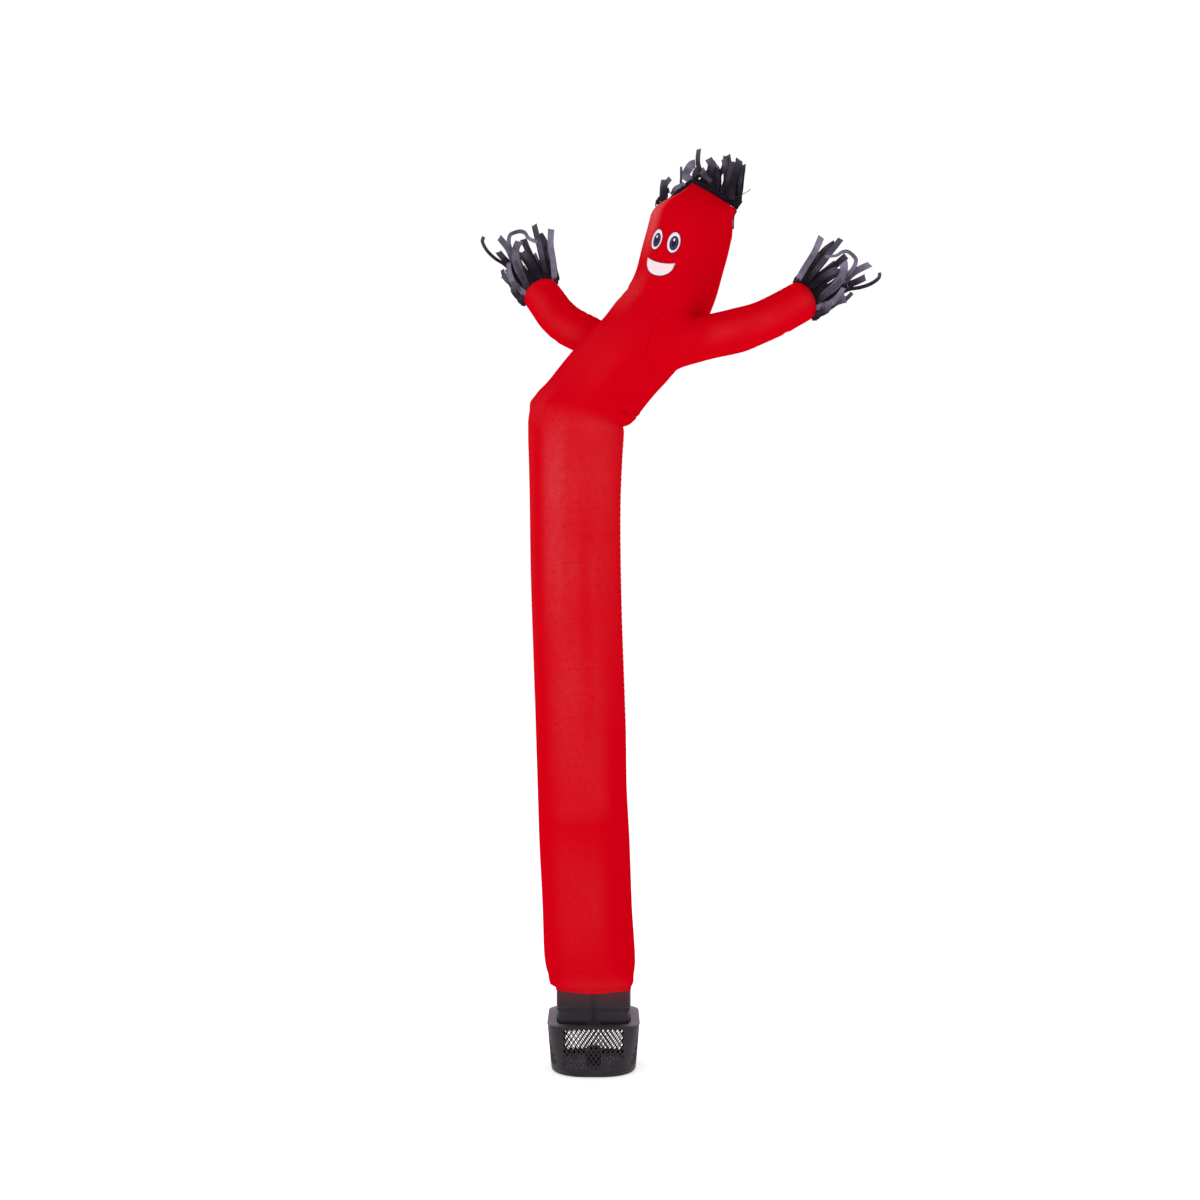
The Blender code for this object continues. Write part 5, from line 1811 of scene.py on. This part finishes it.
class DancerSettings(bpy.types.PropertyGroup):
    """Colours and light that a user would change."""

    cloth_colour: colour_setting("Cloth", "Colour of the sewn tube and sleeves", (0.545, 0.0002, 0.0062))
    ribbon_dark: colour_setting(
        "Ribbon", "Colour of the ribbons where they lie thick", (0.0090, 0.0052, 0.0105))
    ribbon_pale: colour_setting(
        "Thin ribbon", "Colour of the ribbons where light comes through", (0.215, 0.185, 0.26))
    plastic_colour: colour_setting("Plastic", "Colour of the blower's mouldings", (0.019, 0.0145, 0.020))
    motor_colour: colour_setting("Motor", "Colour of the motor's enamel", (0.016, 0.016, 0.018))
    floor_colour: colour_setting("Floor", "Colour of the studio floor", (0.97, 0.97, 0.97))
    key_power: power_setting("Key light", "Power of the large soft light at the front left", 20.0)
    rim_power: power_setting("Rim light", "Power of the tall light behind the left side", 8.0)
    room_light: bpy.props.FloatProperty(
        name="Room light", description="Strength of the even light all round", default=1.03, min=0.0)


CAMERA_PLACE, CAMERA_LENS, CAMERA_SENSOR = (0.0215, -5.8, 1.58), 51.34, 36.0
FLOOR_REACH, FLOOR_DROP = 14.0, 0.0002

MADE = {}  # what a later step needs from an earlier one


def aim(item, place, target):
    item.location = place
    item.rotation_euler = (Vector(target) - Vector(place)).to_track_quat("-Z", "Y").to_euler()


class DANCER_OT_stage(bpy.types.Operator):
    """Set up the camera, the floor and the studio light"""

    bl_idname = "dancer.stage"
    bl_label = "Stage"

    def execute(self, context):
        settings = context.scene.dancer
        scene = context.scene
        scene.view_settings.view_transform = "Standard"
        camera = bpy.data.objects.new("camera", bpy.data.cameras.new("camera"))
        camera.data.sensor_width = CAMERA_SENSOR
        camera.data.lens = CAMERA_LENS
        camera.location = CAMERA_PLACE
        camera.rotation_euler = (pi / 2, 0, 0)
        scene.collection.objects.link(camera)
        scene.camera = camera

        floor_finish = Finish("studio_floor", Specular_IOR_Level=0.1, Emission_Strength=0.35)
        grain = floor_finish.noise(3.0, 3.0)
        floor_colour = tuple(settings.floor_colour)
        base = floor_finish.mix(grain, shade(floor_colour, 0.99), shade(floor_colour, 1.01))
        floor_finish.set(Base_Color=base, Roughness=0.8 + 0.05 * grain, Emission_Color=base)
        build = bmesh.new()
        corners = [(x * FLOOR_REACH, y * FLOOR_REACH) for x, y in ((-1, -1), (1, -1), (1, 1), (-1, 1))]
        build.faces.new([build.verts.new(Vector((x, y, -FLOOR_DROP))) for x, y in corners])
        mesh = bpy.data.meshes.new("floor")
        build.to_mesh(mesh)
        build.free()
        mesh.materials.append(floor_finish.material)
        floor = bpy.data.objects.new("floor", mesh)
        scene.collection.objects.link(floor)
        floor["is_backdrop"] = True

        world = bpy.data.worlds.new("studio")
        world.use_nodes = True
        background = world.node_tree.nodes["Background"]
        background.inputs["Color"].default_value = (1.0, 1.0, 1.0, 1.0)
        background.inputs["Strength"].default_value = settings.room_light
        scene.world = world
        lights = (
            # name, power, width, height, place, target
            ("key", settings.key_power, 2.4, 3.2, (-2.0, -4.6, 3.4), (0.0, 0.0, 1.5)),
            ("rim", settings.rim_power, 0.7, 3.4, (-2.6, 1.6, 2.0), (0.0, 0.0, 1.6)),
        )
        for name, power, width, height, place, target in lights:
            light = bpy.data.lights.new(name, "AREA")
            light.shape = "RECTANGLE"
            light.size, light.size_y = width, height
            light.energy = power
            item = bpy.data.objects.new(name, light)
            scene.collection.objects.link(item)
            aim(item, place, target)
        return {"FINISHED"}


class DANCER_OT_body(bpy.types.Operator):
    """Sew the body tube with its closed head"""

    bl_idname = "dancer.body"
    bl_label = "Body"

    def execute(self, context):
        body = ClothBody()
        nylon = red_nylon(tuple(context.scene.dancer.cloth_colour))
        item = make_piece("cloth_body", body.build(), nylon, ["body_tube"])
        MADE.update(body=body, body_cloth=item, nylon=nylon)
        return {"FINISHED"}


class DANCER_OT_sleeves(bpy.types.Operator):
    """Sew both sleeves onto the body"""

    bl_idname = "dancer.sleeves"
    bl_label = "Sleeves"

    def execute(self, context):
        tree = MADE["body"].outer_tree()
        for side in SLEEVES:
            sleeve = ClothSleeve(side, tree)
            build = sleeve.build()
            name, node = f"cloth_sleeve_{side}", f"sleeve_{side}"
            item = make_piece(name, build, MADE["nylon"], [node], sharp=70)
            MADE[side] = sleeve, item
        return {"FINISHED"}


class DANCER_OT_fringes(bpy.types.Operator):
    """Sew a ribbon fringe into the seams of the head and both hands"""

    bl_idname = "dancer.fringes"
    bl_label = "Fringes"

    def execute(self, context):
        settings = context.scene.dancer
        finish = ribbon_nylon(tuple(settings.ribbon_dark), tuple(settings.ribbon_pale))
        body = MADE["body"]
        for node, (ribbons, reach, heights, scale) in FRINGES.items():
            side = node.rpartition("_")[2]
            tube = MADE[side][0].tube if side in SLEEVES else body.tube
            seam = hand_seam if side in SLEEVES else head_seam
            section = tube.section(tube.length)
            build, layers = build_fringe(section, seam, ribbons, reach, heights, scale)
            if side not in SLEEVES:
                add_piping(build, layers, section)
            item = make_piece(node.replace("fringe", "ribbons"), build, finish, [node])
            if side in SLEEVES:
                sleeve, cloth = MADE[side]
                girth = tau * sleeve.tube.rows[3][3]
                length = sleeve.tube.length - sleeve.root(-pi / 2) + HAND_SHEET
            else:
                girth, length = 2 * HALF_GIRTH, tube.length + HEAD_REACH
        return {"FINISHED"}


class DANCER_OT_face(bpy.types.Operator):
    """Print two round eyes and an open smile on the head"""

    bl_idname = "dancer.face"
    bl_label = "Face"

    def execute(self, context):
        body = MADE["body"]
        inks = {name: print_ink(f"{name}_ink", colour) for name, colour in INKS.items()}
        for side, name in ((-1, "left"), (1, "right")):
            for layer, share, sideways, up, ink, out in EYE_LAYERS:
                build = bmesh.new()
                outline, middle = eye_outline(body, side, share, (sideways * share, up))
                add_patch(build, body, outline, middle, out)
                make_piece(f"eye_{name}_{layer}", build, inks[ink])
        for layer, grow, ink, out in SMILE_LAYERS:
            build = bmesh.new()
            outline, middle = smile_outline(body, grow)
            add_patch(build, body, outline, middle, out, rings=6)
            make_piece(f"smile_{layer}", build, inks[ink])
        return {"FINISHED"}


class DANCER_OT_guard(bpy.types.Operator):
    """Mould the blower's pan and its mesh guard"""

    bl_idname = "dancer.guard"
    bl_label = "Pan and guard"

    def execute(self, context):
        colour = tuple(context.scene.dancer.plastic_colour)
        plastic = moulded_plastic("guard_plastic", colour)
        guard = GuardWall()
        item = make_piece("mesh_guard", guard.build(), plastic, ["guard"], sharp=HARD_EDGE)
        pan_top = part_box("base_pan")[1].z
        make_piece("floor_pan", build_pan(pan_top), plastic, ["base_pan"], sharp=HARD_EDGE)
        MADE.update(guard=guard, plastic=plastic)
        return {"FINISHED"}


class DANCER_OT_collar(bpy.types.Operator):
    """Mould the collar that the tube's hem fits over, and the brackets that hold it"""

    bl_idname = "dancer.collar"
    bl_label = "Collar and brackets"

    def execute(self, context):
        colour = tuple(context.scene.dancer.plastic_colour)
        look = {"grain": 0.00015, "gloss": 0.30, "red_reflection": 0.55, "grooves": SHADED}
        smooth = moulded_plastic("collar_plastic", colour, **look)
        make_piece("duct_collar", build_collar(), smooth, ["collar_duct"], sharp=HARD_EDGE)
        for name, quarters, plate_top in BRACKETS:
            build, node = build_bracket(quarters, plate_top), f"bracket_{name}"
            item = make_piece(f"lug_{name}", build, MADE["plastic"], [node], sharp=HARD_EDGE)
            chamfer(item, LUG_EDGE)
        return {"FINISHED"}


class DANCER_OT_motor(bpy.types.Operator):
    """Turn the motor's can and the mains cord's inlet"""

    bl_idname = "dancer.motor"
    bl_label = "Motor and cord inlet"

    def execute(self, context):
        def upright(radius, angle, height):
            return Vector((radius * cos(angle), radius * sin(angle), height))

        half, corner = MADE["guard"].outline(GLAND_HEIGHT + GLAND[3][1])
        seat = (half - corner) * sqrt(2) + corner + GAP

        def outward(radius, angle, distance):
            spot = Vector((seat + distance, radius * sin(angle), GLAND_HEIGHT + radius * cos(angle)))
            return Matrix.Rotation(pi / 4, 3, "Z") @ spot

        enamel = motor_enamel(tuple(context.scene.dancer.motor_colour))
        build = build_turned(POD, POD_SIDES, upright)
        make_piece("motor_can", build, enamel, ["motor_pod"], sharp=HARD_EDGE)
        turned = [(radius, distance) for distance, radius in GLAND]
        build = build_turned(turned, GLAND_SIDES, outward)
        make_piece("cord_inlet", build, MADE["plastic"], ["cable_gland"], sharp=HARD_EDGE)
        return {"FINISHED"}


STEPS = (
    DANCER_OT_stage,
    DANCER_OT_body,
    DANCER_OT_sleeves,
    DANCER_OT_fringes,
    DANCER_OT_face,
    DANCER_OT_guard,
    DANCER_OT_collar,
    DANCER_OT_motor,
)


class DANCER_PT_panel(bpy.types.Panel):
    """The dancer's steps and settings"""

    bl_idname = "DANCER_PT_panel"
    bl_label = "Air dancer"
    bl_space_type = "VIEW_3D"
    bl_region_type = "UI"
    bl_category = "Dancer"

    def draw(self, context):
        for name in DancerSettings.__annotations__:
            self.layout.prop(context.scene.dancer, name)
        for step in STEPS:
            self.layout.operator(step.bl_idname)


CLASSES = (DancerSettings, *STEPS, DANCER_PT_panel)


def register():
    for item in CLASSES:
        bpy.utils.register_class(item)
    bpy.types.Scene.dancer = bpy.props.PointerProperty(type=DancerSettings)


def unregister():
    del bpy.types.Scene.dancer
    for item in reversed(CLASSES):
        bpy.utils.unregister_class(item)


def main():
    register()
    for step in STEPS:
        _, name = step.bl_idname.split(".")
        getattr(bpy.ops.dancer, name)()
    boxes = {"cad": CAD_BOX, "visual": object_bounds()}
    {name: [list(corner) for corner in box] for name, box in boxes.items()}


if __name__ == "__main__":
    main()
